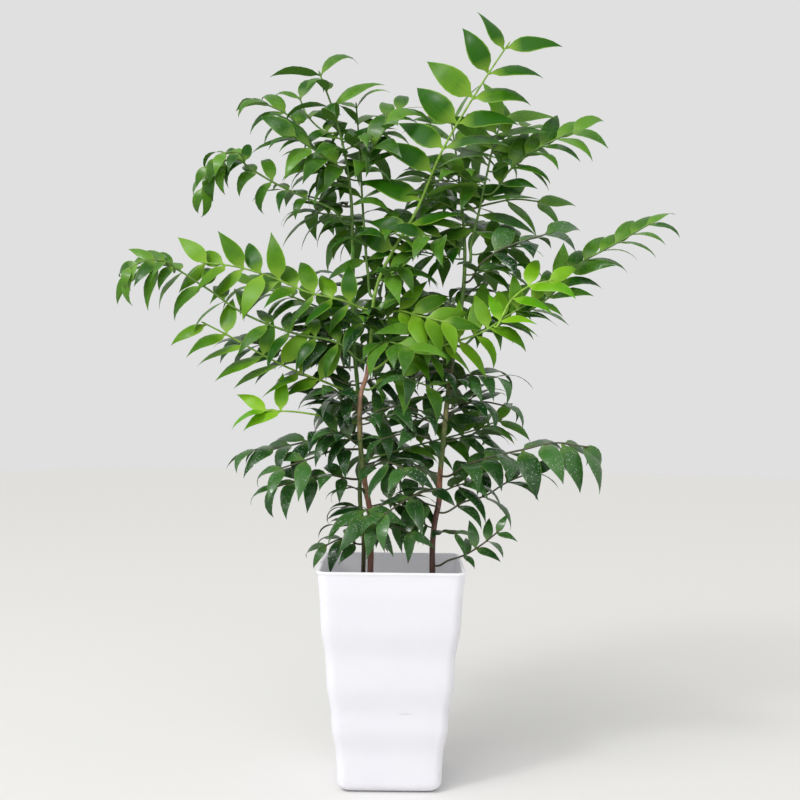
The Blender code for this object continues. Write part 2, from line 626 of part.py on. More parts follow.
def grow_leaves(shoot, twig, twigs, leaves, solids):
    """Place the shoot's leaves by its rule, each moved by small steps until it is clear."""
    draw = random.Random(shoot.name)
    light = math.radians(shoot.roll)
    front = Vector((0, -math.sin(light), math.cos(light)))
    lights = (front, Matrix.Rotation(-math.radians(shoot.tilt), 3, "X") @ front)
    dropped = 0
    for pair in range(shoot.pairs):
        along = pair / max(shoot.pairs - 1, 1)
        turned = math.radians(shoot.whorl * (1 if pair % 2 else -1) + draw.gauss(0, 8))
        for side in (0, 1):
            share = shoot.first + (0.985 - shoot.first) * along + draw.uniform(-0.012, 0.0)
            point, direction = twig.at(share)
            plane = (front - direction * front.dot(direction)).normalized()
            upper = direction.cross(plane)
            if upper.dot(Vector((-0.3, 0, 1))) < 0:
                upper = -upper
            sideways = Matrix.Rotation(turned, 3, direction) @ (upper if side == 0 else -upper)
            spread = math.radians(shoot.spread[side] * (1.08 - 0.4 * along ** 2) + draw.uniform(-9, 9))
            heading = direction * math.cos(spread) + sideways * math.sin(spread)
            hang = math.radians(shoot.droop * (0.3 + 0.7 * along ** 1.5))
            heading = (heading * math.cos(hang) - Vector((0, 0, math.sin(hang)))).normalized()
            length = shoot.leaf * MM * (0.8 + 0.28 * math.sin(math.pi * (0.15 + 0.75 * along)))
            blade = Blade(length * draw.uniform(0.9, 1.08), shoot.slim,
                          math.radians(shoot.arch * draw.uniform(0.6, 1.4)), draw.uniform(-0.05, 0.05))
            rolled = math.radians(draw.gauss(0, 14))
            root = point - heading * twig.radius(share) * 0.45
            for turn, roll, size in trials():
                place = leaf_place(root, heading, plane, lights[side], turn, rolled + roll)
                if is_clear(shoot.name, blade.smaller(size), place, twigs, leaves, solids):
                    leaves.append(Leaf(shoot.name, blade.smaller(size), place))
                    break
            else:
                dropped += 1
    if dropped:
        print("leaves dropped:", shoot.name, dropped)


def is_closed(mesh):
    """Whether every edge of the mesh has two faces."""
    bm = bmesh.new()
    bm.from_mesh(mesh)
    closed = all(len(edge.link_faces) == 2 for edge in bm.edges)
    bm.free()
    return closed


def fuse(shoot, twig, leaves):
    """Join a twig and its leaves in one body."""
    thing = add_object(shoot.name, twig.mesh, parts)
    blades = bpy.data.collections.new("blades")
    bpy.context.scene.collection.children.link(blades)
    for index, leaf in enumerate(leaves):
        bm = leaf_bmesh(leaf.blade)
        bm.transform(leaf.place)
        mesh = bpy.data.meshes.new(f"blade {index}")
        bm.to_mesh(mesh)
        bm.free()
        add_object(f"blade {index}", mesh, blades)
    modifier = thing.modifiers.new("leaves", "BOOLEAN")
    modifier.operation = "UNION"
    modifier.operand_type = "COLLECTION"
    modifier.collection = blades
    modifier.solver = "EXACT"
    joined = evaluated_mesh(thing)
    if not is_closed(joined):
        modifier.solver = "MANIFOLD"
        joined = evaluated_mesh(thing)
    thing.modifiers.clear()
    thing.data = joined
    for blade in list(blades.objects):
        bpy.data.objects.remove(blade)
    bpy.data.collections.remove(blades)
    add_material(thing, TONES[shoot.tone], 0.45)


def build_plant(solids):
    """All twigs first, then all leaves, then each shoot fused in one body."""
    twigs = {}
    for stem in STEMS:
        line = [Vector(point) * MM for point in stem.route]
        twig = Twig(stem.name, line, stem.foot * MM, stem.end * MM, 1)
        twigs[stem.name] = twig
        thing = add_object(stem.name, twig.mesh, parts)
        thing.data.shade_smooth()
        add_material(thing, stem.color, 0.7)
    for shoot in SHOOTS:
        parent = twigs[shoot.grows_from]
        line = twig_line(shoot, parent, list(twigs.values()))
        foot = parent.end if shoot.goes_on else shoot.foot * MM
        twigs[shoot.name] = Twig(shoot.name, line, foot, TWIG_END_RADIUS, 1 if shoot.goes_on else 0)
    leaves = []
    for shoot in SHOOTS:
        grow_leaves(shoot, twigs[shoot.name], list(twigs.values()), leaves, solids)
    for shoot in SHOOTS:
        fuse(shoot, twigs[shoot.name], [leaf for leaf in leaves if leaf.owner == shoot.name])
    print("leaves:", len(leaves))


for thing in list(bpy.data.objects):
    bpy.data.objects.remove(thing)
parts = bpy.data.collections.new("potted_nagi")
cutters = bpy.data.collections.new("cutters")
bpy.context.scene.collection.children.link(parts)
bpy.context.scene.collection.children.link(cutters)

pot_and_soil = [build_pot(), build_soil()]
build_plant([search_tree(evaluated_mesh(solid)) for solid in pot_and_soil])
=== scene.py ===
"""Looks for a young nagi tree in a tall square plastic pot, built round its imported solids.

Metres, +Z up, the pot's front towards -Y. Routes and leaf sizes are in millimetres, as on the plant.
"""
import math
import random
from dataclasses import dataclass, replace

import bmesh
import bpy
from mathutils import Matrix, Vector, noise
from mathutils.bvhtree import BVHTree


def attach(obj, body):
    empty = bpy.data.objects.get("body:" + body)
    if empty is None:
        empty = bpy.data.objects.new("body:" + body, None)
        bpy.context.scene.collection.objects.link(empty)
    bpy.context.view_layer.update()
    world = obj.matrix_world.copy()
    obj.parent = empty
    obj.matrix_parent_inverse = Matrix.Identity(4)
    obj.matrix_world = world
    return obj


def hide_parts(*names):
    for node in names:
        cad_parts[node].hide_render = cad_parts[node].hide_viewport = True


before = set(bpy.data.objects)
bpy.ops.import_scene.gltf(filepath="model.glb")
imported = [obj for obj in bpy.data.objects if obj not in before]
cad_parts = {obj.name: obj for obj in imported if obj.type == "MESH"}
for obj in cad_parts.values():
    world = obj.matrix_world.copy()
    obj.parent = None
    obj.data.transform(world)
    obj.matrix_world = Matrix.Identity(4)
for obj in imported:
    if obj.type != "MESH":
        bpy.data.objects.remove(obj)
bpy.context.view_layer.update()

# The pot
# One tall shell moulded in white polypropylene. Its four walls lean out and swell in three soft waves, with
# a slight fourth under the rim. The foot is rounded, the rim has a bead, and the floor has four drain holes.

MM = 0.001
POT_HEIGHT = 262 * MM
POT_FOOT_HALF = 60.9 * MM
POT_LEAN = 0.045
POT_STEPS = ((60, 34, 4.0), (111, 36, 3.8), (178, 40, 3.9), (246, 48, 1.6))  # mid height, length, rise, mm
POT_WALL = 3 * MM
WALL_STEPS = 48
FOOT_ROUNDING = 12 * MM
FOOT_TURNS = range(0, 90, 15)  # degrees, one ring each
LIP_HEIGHT = 3 * MM
LIP_WIDTH = 0.8 * MM
LIP_ROUNDING = 0.5 * MM
LIP_TURNS = range(0, 91, 30)
CORNER_AT_FOOT = 11 * MM
CORNER_AT_RIM = 13 * MM
CORNER_STEPS = 8
SIDE_STEPS = 6
DRAIN_HOLE_RADIUS = 5 * MM
DRAIN_HOLE_PLACE = 30 * MM  # from the middle, both ways
DRAIN_HOLE_SIDES = 24
POT_WHITES = ("#E9E8F5", "#F0EFFA")
SCUFF_GREY = "#8E8C88"
RUB_MARK_PLACE = (18 * MM, -69 * MM, 95.5 * MM)
RUB_MARK_SIZE = (11 * MM, 14 * MM, 1.1 * MM)


def smooth_step(share):
    """0 below 0 and 1 above 1, with level ends."""
    share = min(max(share, 0.0), 1.0)
    return share * share * (3 - 2 * share)


def pot_half_width(height):
    """Half the pot's outer width at this height."""
    half = POT_FOOT_HALF + POT_LEAN * height
    for middle, length, rise in POT_STEPS:
        half += rise * MM * smooth_step((height / MM - middle) / length + 0.5)
    return half


def square_point(index, half, corner):
    """One of the points round a square with rounded corners, in plan."""
    per_quarter = CORNER_STEPS + SIDE_STEPS
    quarter, step = divmod(index, per_quarter)
    inner = half - corner
    if step <= CORNER_STEPS:
        angle = math.radians(90 * step / CORNER_STEPS)
        x, y = inner + corner * math.cos(angle), inner + corner * math.sin(angle)
    else:
        share = (step - CORNER_STEPS) / SIDE_STEPS
        x, y = inner * (1 - 2 * share), half
    for _ in range(quarter):
        x, y = -y, x
    return x, y


def pot_corner(height):
    """The radius of the pot's corners at this height."""
    return CORNER_AT_FOOT + (CORNER_AT_RIM - CORNER_AT_FOOT) * height / POT_HEIGHT


def wall_rings(inset, top):
    """Height, half width and corner radius of each ring up the outside, or up a surface inset from it."""
    rings = []
    half_above = pot_half_width(FOOT_ROUNDING)
    for degrees in FOOT_TURNS:
        angle = math.radians(degrees)
        height = FOOT_ROUNDING - (FOOT_ROUNDING - inset) * math.cos(angle)
        half = half_above - FOOT_ROUNDING + (FOOT_ROUNDING - inset) * math.sin(angle)
        rings.append((height, half, pot_corner(height) - inset))
    for step in range(WALL_STEPS + 1):
        height = FOOT_ROUNDING + (top - FOOT_ROUNDING) * step / WALL_STEPS
        rings.append((height, pot_half_width(height) - inset, pot_corner(height) - inset))
    return rings


def edges_at(vertices):
    """The edges at these vertices, in an order that is the same each run."""
    return list(dict.fromkeys(edge for vertex in vertices for edge in vertex.link_edges))


def extrude_ring(bm, edges):
    """Extrude a ring of edges where it stands, and return the new ring's vertices and edges."""
    made = bmesh.ops.extrude_edge_only(bm, edges=edges)["geom"]
    ends = {part for part in made if isinstance(part, bmesh.types.BMVert)}
    return ends, [part for part in made if isinstance(part, bmesh.types.BMEdge) and set(part.verts) <= ends]


def draw_up(bm, place, edges, rings):
    """Extrude a ring of edges through the rings that follow, and return the last one's edges."""
    for height, half, corner in rings:
        ends, edges = extrude_ring(bm, edges)
        for vertex in ends:
            vertex.co = (*square_point(vertex[place], half, corner), height)
    return edges


def first_ring(bm, place, height, half, corner):
    """A ring of edges round the rounded square, each vertex marked with its place in the ring."""
    count = 4 * (CORNER_STEPS + SIDE_STEPS)
    made = bmesh.ops.create_circle(bm, segments=count, radius=1.0)["verts"]
    for index, vertex in enumerate(made):
        vertex[place] = index
        vertex.co = (*square_point(index, half, corner), height)
    return edges_at(made)


def finish_piece(name, bm, materials, node, slot):
    """Make the mesh an object that rides on the part and, where a node is named, stands for its solid."""
    mesh = bpy.data.meshes.new(name)
    bm.to_mesh(mesh)
    bm.free()
    for material in materials:
        mesh.materials.append(material)
    mesh.shade_smooth()
    piece = bpy.data.objects.new(name, mesh)
    bpy.context.scene.collection.objects.link(piece)
    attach(piece, "root")
    if node:
        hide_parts(node)
    return piece


def srgb(hex_colour):
    """A linear colour from its sRGB hex value."""
    channels = [int(hex_colour[start:start + 2], 16) / 255 for start in (1, 3, 5)]
    return (*(c / 12.92 if c <= 0.04045 else ((c + 0.055) / 1.055) ** 2.4 for c in channels), 1.0)


def add_node(material, kind, inputs=(), **settings):
    """Add a shader node with its settings. Its inputs come by name in a dict, or in a tuple in their order:
    each is a value, a socket that feeds it, or a node whose first output in use does."""
    tree = material.node_tree
    node = tree.nodes.new("ShaderNode" + kind)
    for name, value in settings.items():
        setattr(node, name, value)
    sockets = [socket for socket in node.inputs if socket.enabled]
    named = {socket.name: socket for socket in sockets[::-1]}
    for name, value in inputs.items() if isinstance(inputs, dict) else enumerate(inputs):
        socket = named[name] if isinstance(name, str) else sockets[name]
        if isinstance(value, bpy.types.Node):
            value = next(output for output in value.outputs if output.enabled)
        if isinstance(value, bpy.types.NodeSocket):
            tree.links.new(value, socket)
        else:
            socket.default_value = value
    return node


def blank_material(name):
    """A material with nothing in its node tree but the output."""
    material = bpy.data.materials.new(name)
    material.use_nodes = True
    material.node_tree.nodes.clear()
    return material


def moulded_polypropylene():
    """White polypropylene straight from a polished mould: a satin skin that is never quite even, with the
    greyish scuffs and the thin rub mark that a pot gets when it is moved about."""
    # A map range's numbers are the range that it reads and, unless that is 0 to 1, the range that it gives
    material = blank_material("moulded_polypropylene")
    object_place = add_node(material, "TexCoord").outputs["Object"]
    clouds = add_node(material, "TexNoise", {"Vector": object_place, "Scale": 1 / (70 * MM), "Detail": 3.0})
    scuffs = add_node(material, "Mapping", {
        "Vector": object_place, "Scale": (1 / (11 * MM), 1 / (11 * MM), 1 / (1.1 * MM)),
        "Rotation": (0.0, 0.12, 0.0)})
    scuffs = add_node(material, "TexNoise", {"Vector": scuffs, "Scale": 1.0, "Detail": 2.0})
    scuffs = add_node(material, "MapRange", (scuffs, 0.68, 0.8, 0.0, 0.12))
    mark = add_node(material, "Mapping", {
        "Vector": object_place, "Location": RUB_MARK_PLACE, "Scale": RUB_MARK_SIZE}, vector_type="TEXTURE")
    mark = add_node(material, "VectorMath", (mark,), operation="LENGTH")
    mark = add_node(material, "MapRange", (mark, 0.2, 1.0, 0.3, 0.0))
    wear = add_node(material, "Math", (scuffs, mark), operation="MAXIMUM")
    plain = add_node(material, "Mix", {
        "Factor": clouds, "A": srgb(POT_WHITES[0]), "B": srgb(POT_WHITES[1])}, data_type="RGBA")
    colour = add_node(material, "Mix", {"Factor": wear, "A": plain, "B": srgb(SCUFF_GREY)}, data_type="RGBA")
    roughness = add_node(material, "MapRange", (clouds, 0.3, 0.7, 0.34, 0.42))
    grain = add_node(material, "TexNoise", {"Vector": object_place, "Scale": 1 / (1.1 * MM), "Detail": 1.0})
    bump = add_node(material, "Bump", {"Height": grain, "Strength": 0.25, "Distance": 0.05 * MM})
    shader = add_node(material, "BsdfPrincipled", {
        "Base Color": colour, "Roughness": roughness, "Normal": bump, "IOR": 1.49, "Subsurface Weight": 0.8,
        "Subsurface Radius": (1.0, 1.0, 1.0), "Subsurface Scale": 8 * MM})
    add_node(material, "OutputMaterial", {"Surface": shader})
    return material


def lip_rings():
    """The rings round the lip: out under it, up its rounded edge, over the rim and in."""
    wall = pot_half_width(POT_HEIGHT)
    under = POT_HEIGHT - LIP_HEIGHT
    outer = wall + LIP_WIDTH - LIP_ROUNDING
    inner = wall - POT_WALL + LIP_ROUNDING
    rings = []
    for height, half, turn in ((under + LIP_ROUNDING, outer, -90), (POT_HEIGHT - LIP_ROUNDING, outer, 0),
                               (POT_HEIGHT - LIP_ROUNDING, inner, 90)):
        for degrees in LIP_TURNS:
            angle = math.radians(turn + degrees)
            reach = half + LIP_ROUNDING * math.cos(angle)
            rings.append((height + LIP_ROUNDING * math.sin(angle), reach, CORNER_AT_RIM + reach - wall))
    return rings


bm = bmesh.new()
place = bm.verts.layers.int.new("place")
outside = wall_rings(0.0, POT_HEIGHT - LIP_HEIGHT)
inside = wall_rings(POT_WALL, POT_HEIGHT - 2 * LIP_HEIGHT)
underside = first_ring(bm, place, *outside[0])
floor_edge = draw_up(bm, place, underside, outside[1:] + lip_rings() + inside[::-1])
floor_edges = [underside, floor_edge]
for side_x in (-1, 1):
    for side_y in (-1, 1):
        hole = []
        for layer, height in enumerate((0.0, POT_WALL)):
            spot = Matrix.Translation((side_x * DRAIN_HOLE_PLACE, side_y * DRAIN_HOLE_PLACE, height))
            ring = bmesh.ops.create_circle(
                bm, segments=DRAIN_HOLE_SIDES, radius=DRAIN_HOLE_RADIUS, matrix=spot)["verts"]
            hole.append(edges_at(ring))
            floor_edges[layer] = floor_edges[layer] + hole[layer]
        bmesh.ops.bridge_loops(bm, edges=hole[0] + hole[1])
for edges in floor_edges:
    bmesh.ops.triangle_fill(bm, use_beauty=True, edges=edges)
bmesh.ops.recalc_face_normals(bm, faces=bm.faces)
pot = finish_piece("white_pot", bm, [moulded_polypropylene()], "pot", "pot")
pot.data.set_sharp_from_angle(angle=math.radians(40))

# The soil
# Dark potting mix of peat and bark that fills the pot to 30 mm under its rim. Its top has settled unevenly,
# with crumbs and chips of bark lying loose on it.

SOIL_TOP = 232 * MM
SOIL_CELLS = 72
SOIL_LUMPS = ((28, 2.2), (9, 1.2), (3, 0.6))  # how wide and how high, mm
GAP = 0.3 * MM
CRUMBS = 420
CRUMB_REACH = 0.93  # share of the way to the wall
CRUMB_RADII = (0.8, 2.6)  # mm
CRUMB_DENT = 1.5 * MM
CRUMB_ROUGHNESS = 0.25  # share of its radius
BARK_SHARE = 0.3
BARK_SHAPE = (2.4, 1.3, 0.5, 1)


def potting_mix(name, dark, pale, grain):
    """Damp peat and bark: nearly black brown, matt, with paler fibres through it."""
    material = blank_material(name)
    object_place = add_node(material, "TexCoord").outputs["Object"]
    lumps = add_node(material, "TexNoise", {
        "Vector": object_place, "Scale": 1 / grain, "Detail": 6.0, "Roughness": 0.7})
    share = add_node(material, "MapRange", (lumps, 0.4, 0.72))
    colour = add_node(material, "Mix", {
        "Factor": share, "A": srgb(dark), "B": srgb(pale)}, data_type="RGBA")
    bump = add_node(material, "Bump", {"Height": lumps, "Strength": 0.8, "Distance": 0.8 * MM})
    shader = add_node(material, "BsdfPrincipled", {
        "Base Color": colour, "Roughness": 0.95, "Normal": bump, "Specular IOR Level": 0.3})
    add_node(material, "OutputMaterial", {"Surface": shader})
    return material


def round_in(x, y, half, corner):
    """Move a point of a full square inwards, so that the square's corners come out round."""
    inner = half - corner
    over_x, over_y = abs(x) - inner, abs(y) - inner
    if over_x > 0 and over_y > 0:
        shrink = max(over_x, over_y) / math.hypot(over_x, over_y)
        x = math.copysign(inner + over_x * shrink, x)
        y = math.copysign(inner + over_y * shrink, y)
    return x, y


def soil_height(x, y):
    """How high the settled top stands there."""
    place = Vector((x, y, 0)) / MM
    return SOIL_TOP + sum(rise * noise.noise(place / width) for width, rise in SOIL_LUMPS) * MM


bm = bmesh.new()
soil_inset = POT_WALL + GAP
bmesh.ops.create_grid(bm, x_segments=SOIL_CELLS, y_segments=SOIL_CELLS, size=1.0)
edges = [edge for edge in bm.edges if len(edge.link_faces) == 1]
top_half = pot_half_width(SOIL_TOP) - soil_inset
top_corner = pot_corner(SOIL_TOP) - soil_inset
square = bm.verts.layers.float_vector.new("square")
for vertex in bm.verts:
    vertex[square] = vertex.co
    x, y = round_in(vertex.co.x * top_half, vertex.co.y * top_half, top_half, top_corner)
    vertex.co = (x, y, soil_height(x, y))
for height, half, corner in wall_rings(soil_inset, SOIL_TOP - 3 * MM)[::-4]:
    ends, edges = extrude_ring(bm, edges)
    for vertex in ends:
        vertex.co = (*round_in(vertex[square].x * half, vertex[square].y * half, half, corner), height)
bmesh.ops.contextual_create(bm, geom=edges)
bmesh.ops.recalc_face_normals(bm, faces=bm.faces)
draw = random.Random("crumbs")
for _ in range(CRUMBS):
    x = draw.uniform(-CRUMB_REACH, CRUMB_REACH) * top_half
    y = draw.uniform(-CRUMB_REACH, CRUMB_REACH) * top_half
    size = draw.uniform(*CRUMB_RADII) * MM
    bark = draw.random() < BARK_SHARE
    shape = Matrix.Diagonal(BARK_SHAPE if bark else (1, draw.uniform(0.7, 1), 0.8, 1))
    turn = Matrix.Rotation(draw.uniform(0, math.tau), 4, "Z") @ Matrix.Rotation(draw.gauss(0, 0.4), 4, "X")
    spot = Matrix.Translation((x, y, soil_height(x, y) + 0.3 * size))
    made = bmesh.ops.create_icosphere(bm, subdivisions=1, radius=size, matrix=spot @ turn @ shape)["verts"]
    for vertex in made:
        at = vertex.co / CRUMB_DENT
        dents = Vector([noise.noise(turned) for turned in (at, at.yzx, at.zxy)])
        vertex.co += dents * CRUMB_ROUGHNESS * size
    if bark:
        for face in {face for vertex in made for face in vertex.link_faces}:
            face.material_index = 1
soil = finish_piece("potting_soil", bm, [
    potting_mix("potting_mix", "#1C140E", "#4A3526", 4 * MM),
    potting_mix("bark_chips", "#4A2F1D", "#8A6441", 2.5 * MM)], "soil", "soil")
soil.data.set_sharp_from_angle(angle=math.radians(50))

# The stems
# Three woody stems stand in the soil. The right one and the front left one wear thin bark, dark and reddish
# at the foot, paler and flaking further up; the back left one is younger, and its skin is still part green.

STEM_SIDES = 16
STEM_STEP = 4 * MM
FOOT_FLARE = 0.9  # mm on the radius
FLARE_TOP = 246.4  # height, mm
FLARE_LENGTH = 14  # mm
KNOB_RISE = 0.25  # mm
KNOB_LENGTH = 11 * MM


@dataclass
class Stem:
    """A bare stem that stands in the soil: radii and route in mm, from its foot in the soil up."""

    name: str
    foot: float
    end: float
    route: list


STEMS = [
    Stem("stem_left_green", 2.8, 2.4, [(-35, 10, 172), (-35, 10, 247), (-35, 10, 287), (-40, 10, 337),
         (-40, 10, 397), (-41, 10, 437), (-45, 10, 482), (-50, 10, 532), (-51, 10, 582), (-52, 5, 652)]),
    Stem("stem_left_brown", 4.1, 2.6, [(-26, -6, 172), (-26, -6, 247), (-27, -6, 322), (-35, -8, 367),
         (-40, -10, 412), (-41, -10, 442), (-39, -10, 470), (-33, -10, 489), (-30, -10, 512)]),
    Stem("stem_right_brown", 3.9, 2.8, [(50, 5, 172), (50, 5, 247), (50, 5, 287), (53, 5, 315),
         (57, 5, 335), (58, 5, 366), (60, 4, 392), (63, 3, 430), (67, 1, 470), (71, 0, 505), (75, 1, 530),
         (81, 5, 567)]),
]

# Colours up each stem, with their heights in mm
STEM_COLOURS = {
    "stem_left_green": (
        ("#4A3B26", 240), ("#5B6A30", 300), ("#4E7A2A", 420), ("#5F9433", 640)),
    "stem_left_brown": (
        ("#6E4A3E", 240), ("#8A5A48", 350), ("#5E6E36", 374), ("#66743A", 414), ("#A08C60", 430),
        ("#B08670", 465), ("#A4745E", 500), ("#7C8C46", 516)),
    "stem_right_brown": (
        ("#5E413B", 240), ("#6E4A42", 333), ("#945C46", 358), ("#62743A", 378), ("#66783C", 420),
        ("#9A9460", 437), ("#6C7E40", 460), ("#6A5E3E", 484), ("#48602E", 510), ("#4F6B2C", 560)),
}
CORK_COLOUR = "#A08C74"
COLOUR_DRIFT = 60 * MM  # how far the noise moves a colour's border, half of it each way
BARK_SLOTS = {"stem_left_green": "green_bark", "stem_left_brown": "red_bark", "stem_right_brown": "dark_bark"}


def thin_bark(name, colours):
    """The bark of a young stem, with fine cracks along it every millimetre or so and pale corky flecks.
    Its colour goes from brown at the foot to green, darker in the cracks and paler on the ridges: partly
    the bark's own colour and partly painted shade in the cracks and painted sheen on the ridges."""
    material = blank_material(name)
    object_place = add_node(material, "TexCoord").outputs["Object"]
    height = add_node(material, "SeparateXYZ", (object_place,)).outputs["Z"]
    patches = add_node(material, "TexNoise", {
        "Vector": object_place, "Scale": 1 / (18 * MM), "Detail": 3.0})
    drift = add_node(material, "Math", (patches, COLOUR_DRIFT), operation="MULTIPLY")
    height = add_node(material, "Math", (height, drift), operation="ADD")
    low, high = colours[0][1] * MM, colours[-1][1] * MM
    share = add_node(material, "MapRange", (height, low + COLOUR_DRIFT / 2, high + COLOUR_DRIFT / 2))
    ramp = add_node(material, "ValToRGB", (share,))
    stops = ramp.color_ramp.elements
    while len(stops) < len(colours):
        stops.new(0.5)
    for stop, (colour, at) in zip(stops, colours):
        stop.position = (at * MM - low) / (high - low)
        stop.color = srgb(colour)
    stretch = add_node(material, "Mapping", {
        "Vector": object_place, "Scale": (1 / (1.1 * MM), 1 / (1.1 * MM), 1 / (11 * MM))})
    cracks = add_node(material, "TexNoise", {"Vector": stretch, "Scale": 1.0, "Detail": 3.0})
    # Darker in the cracks and paler on the ridges, following the bump: partly the bark's own colour, partly
    # painted shade in the cracks and painted sheen on the ridges
    deep = add_node(material, "MapRange", (cracks, 0.35, 0.65, 0.5, 1.35))
    colour = add_node(material, "VectorMath", {"Vector": ramp, "Scale": deep}, operation="SCALE")
    flecks = add_node(material, "TexVoronoi", {"Vector": object_place, "Scale": 1 / (3.8 * MM)})
    flecks = add_node(material, "MapRange", (flecks, 0.14, 0.24, 0.65, 0.0))
    colour = add_node(material, "Mix", {
        "Factor": flecks, "A": colour, "B": srgb(CORK_COLOUR)}, data_type="RGBA")
    bump = add_node(material, "Bump", {"Height": cracks, "Strength": 0.6, "Distance": 0.35 * MM})
    shader = add_node(material, "BsdfPrincipled", {"Base Color": colour, "Roughness": 0.62, "Normal": bump})
    add_node(material, "OutputMaterial", {"Surface": shader})
    return material


def heading_at(points, index):
    """Which way a smooth curve passes this point of the list: nearer the way of the shorter side."""
    if index in (0, len(points) - 1):
        return (points[min(index + 1, len(points) - 1)] - points[max(index - 1, 0)]).normalized()
    back, ahead = points[index] - points[index - 1], points[index + 1] - points[index]
    return (back.normalized() * ahead.length + ahead.normalized() * back.length).normalized()


def smooth_point(points, place):
    """A point of the smooth curve through the list: at place 0 its first point, at 1 the next, and so on."""
    index = min(int(place), len(points) - 2)
    share = place - index
    start, end = points[index], points[index + 1]
    leave = heading_at(points, index) * (end - start).length
    arrive = heading_at(points, index + 1) * (end - start).length
    first = start * (1 + 2 * share) + leave * share
    last = end * (3 - 2 * share) - arrive * (1 - share)
    return first * (1 - share) ** 2 + last * share ** 2


def smooth_route(points, step):
    """Points of the smooth curve through the list, about one step apart."""
    route = [points[0]]
    for index, (start, end) in enumerate(zip(points, points[1:])):
        steps = max(1, round((end - start).length / step))
        route += [smooth_point(points, index + (number + 1) / steps) for number in range(steps)]
    return route


def sweep(bm, line, radii, sides):
    """A closed tube: a circle drawn on along the line, each ring square to the way it goes."""
    side = Vector((0.3, 1.0, 0.2))  # any way that no stem or twig runs
    edges = None
    for index, (point, radius) in enumerate(zip(line, radii)):
        ahead = (line[min(index + 1, len(line) - 1)] - line[max(index - 1, 0)]).normalized()
        side = (side - ahead * side.dot(ahead)).normalized()
        ring = Matrix((side, ahead.cross(side), ahead)).transposed().to_4x4()
        ring = Matrix.Translation(point) @ ring @ Matrix.Scale(radius, 4)
        if edges is None:
            ends = bmesh.ops.create_circle(
                bm, cap_ends=True, segments=sides, radius=1.0, matrix=ring)["verts"]
            edges = edges_at(ends)
        else:
            ends, edges = extrude_ring(bm, edges)
            bmesh.ops.transform(bm, matrix=ring @ before.inverted(), verts=list(ends))
        before = ring
    bmesh.ops.contextual_create(bm, geom=edges)


for stem in STEMS:
    bm = bmesh.new()
    line = smooth_route([Vector(point) * MM for point in stem.route], STEM_STEP)
    radii = []
    for index, point in enumerate(line):
        plain = stem.foot + (stem.end - stem.foot) * index / (len(line) - 1)
        flare = FOOT_FLARE * smooth_step((FLARE_TOP - point.z / MM) / FLARE_LENGTH)
        radii.append((plain + flare + KNOB_RISE * noise.noise(point / KNOB_LENGTH)) * MM)
    sweep(bm, line, radii, STEM_SIDES)
    bmesh.ops.recalc_face_normals(bm, faces=bm.faces)
    bark = thin_bark(stem.name + "_bark", STEM_COLOURS[stem.name])
    finish_piece(stem.name + "_bark", bm, [bark], stem.name, BARK_SLOTS[stem.name])

# The leafy shoots
# Each is one twig with its leaves in opposite pairs, spread in two ranks. A leaf is a leathery blade of 4 to
# 8 cm on a short twisted stalk, with fine veins side by side, no midrib and a drawn-out tip. The routes and
# the rule for the leaves are the solids' own, so each piece lies on the solid that it replaces.

STALK_SHARE = 0.07
STALK_HALF_WIDTH = 0.75 * MM
STALK_DEPTH = 1.1 * MM
BLADE_DEPTH = 0.9 * MM
BEFORE_WIDEST, PAST_WIDEST = 0.33, 0.67  # shares of the blade
MIDRIB_STEPS = 12
START_RISE = 0.2  # share of its bend by which a leaf starts upwards
BEND_POWER = 1.4  # how late the bend comes
LEAF_RINGS = (0.012, 0.32, 0.7)  # shares of the length
LEAF_CLEARANCE = 0.6 * MM
TWIG_END_RADIUS = 0.95 * MM
TWIG_STUB = 3 * MM
TWIG_RISE = 0.15  # how steeply a twig leaves its stem
TWIG_CLEARANCE = 0.7  # mm
NEAR_FOOT = 7 * MM
PROBE_STEP = 3 * MM
BENDS = (0, -6, 6, -12, 12, -18, 18, -24, 24)  # mm
BEND_RUN = 0.85  # share of half a wave


@dataclass
class Shoot:
    """A leafy stem or side twig, in mm and degrees, with its leaves in two ranks of opposite pairs."""

    name: str
    grows_from: str
    height: float  # where it leaves that stem
    route: list
    foot: float = 1.5  # radius at the foot
    pairs: int = 4
    first: float = 0.2  # share of the route that is bare
    leaf: float = 62
    slim: float = 0.16  # half width over length
    roll: float = 45  # 0 turns the leaves' faces up, 90 turns them to the front
    tilt: float = 15  # how much further up the leaves on the lower or right side face
    spread: tuple = (62, 50)  # from the twig, on its upper or left side and on the other
    whorl: float = 10  # how far each pair is turned about the twig, by turns one way and the other
    droop: float = 10  # how far the last leaves hang
    arch: float = 60  # how far a leaf bends from its stalk to its tip
    tone: str = "mid"
    goes_on: bool = False  # carries on from the stem's end


def shaded(name, grows_from, height, route, slim=0.145, arch=82, **habit):
    """An older spray in the shade, with dark leaves that are narrow and bend well over."""
    return Shoot(name, grows_from, height, route, slim=slim, arch=arch, tone="dark", **habit)


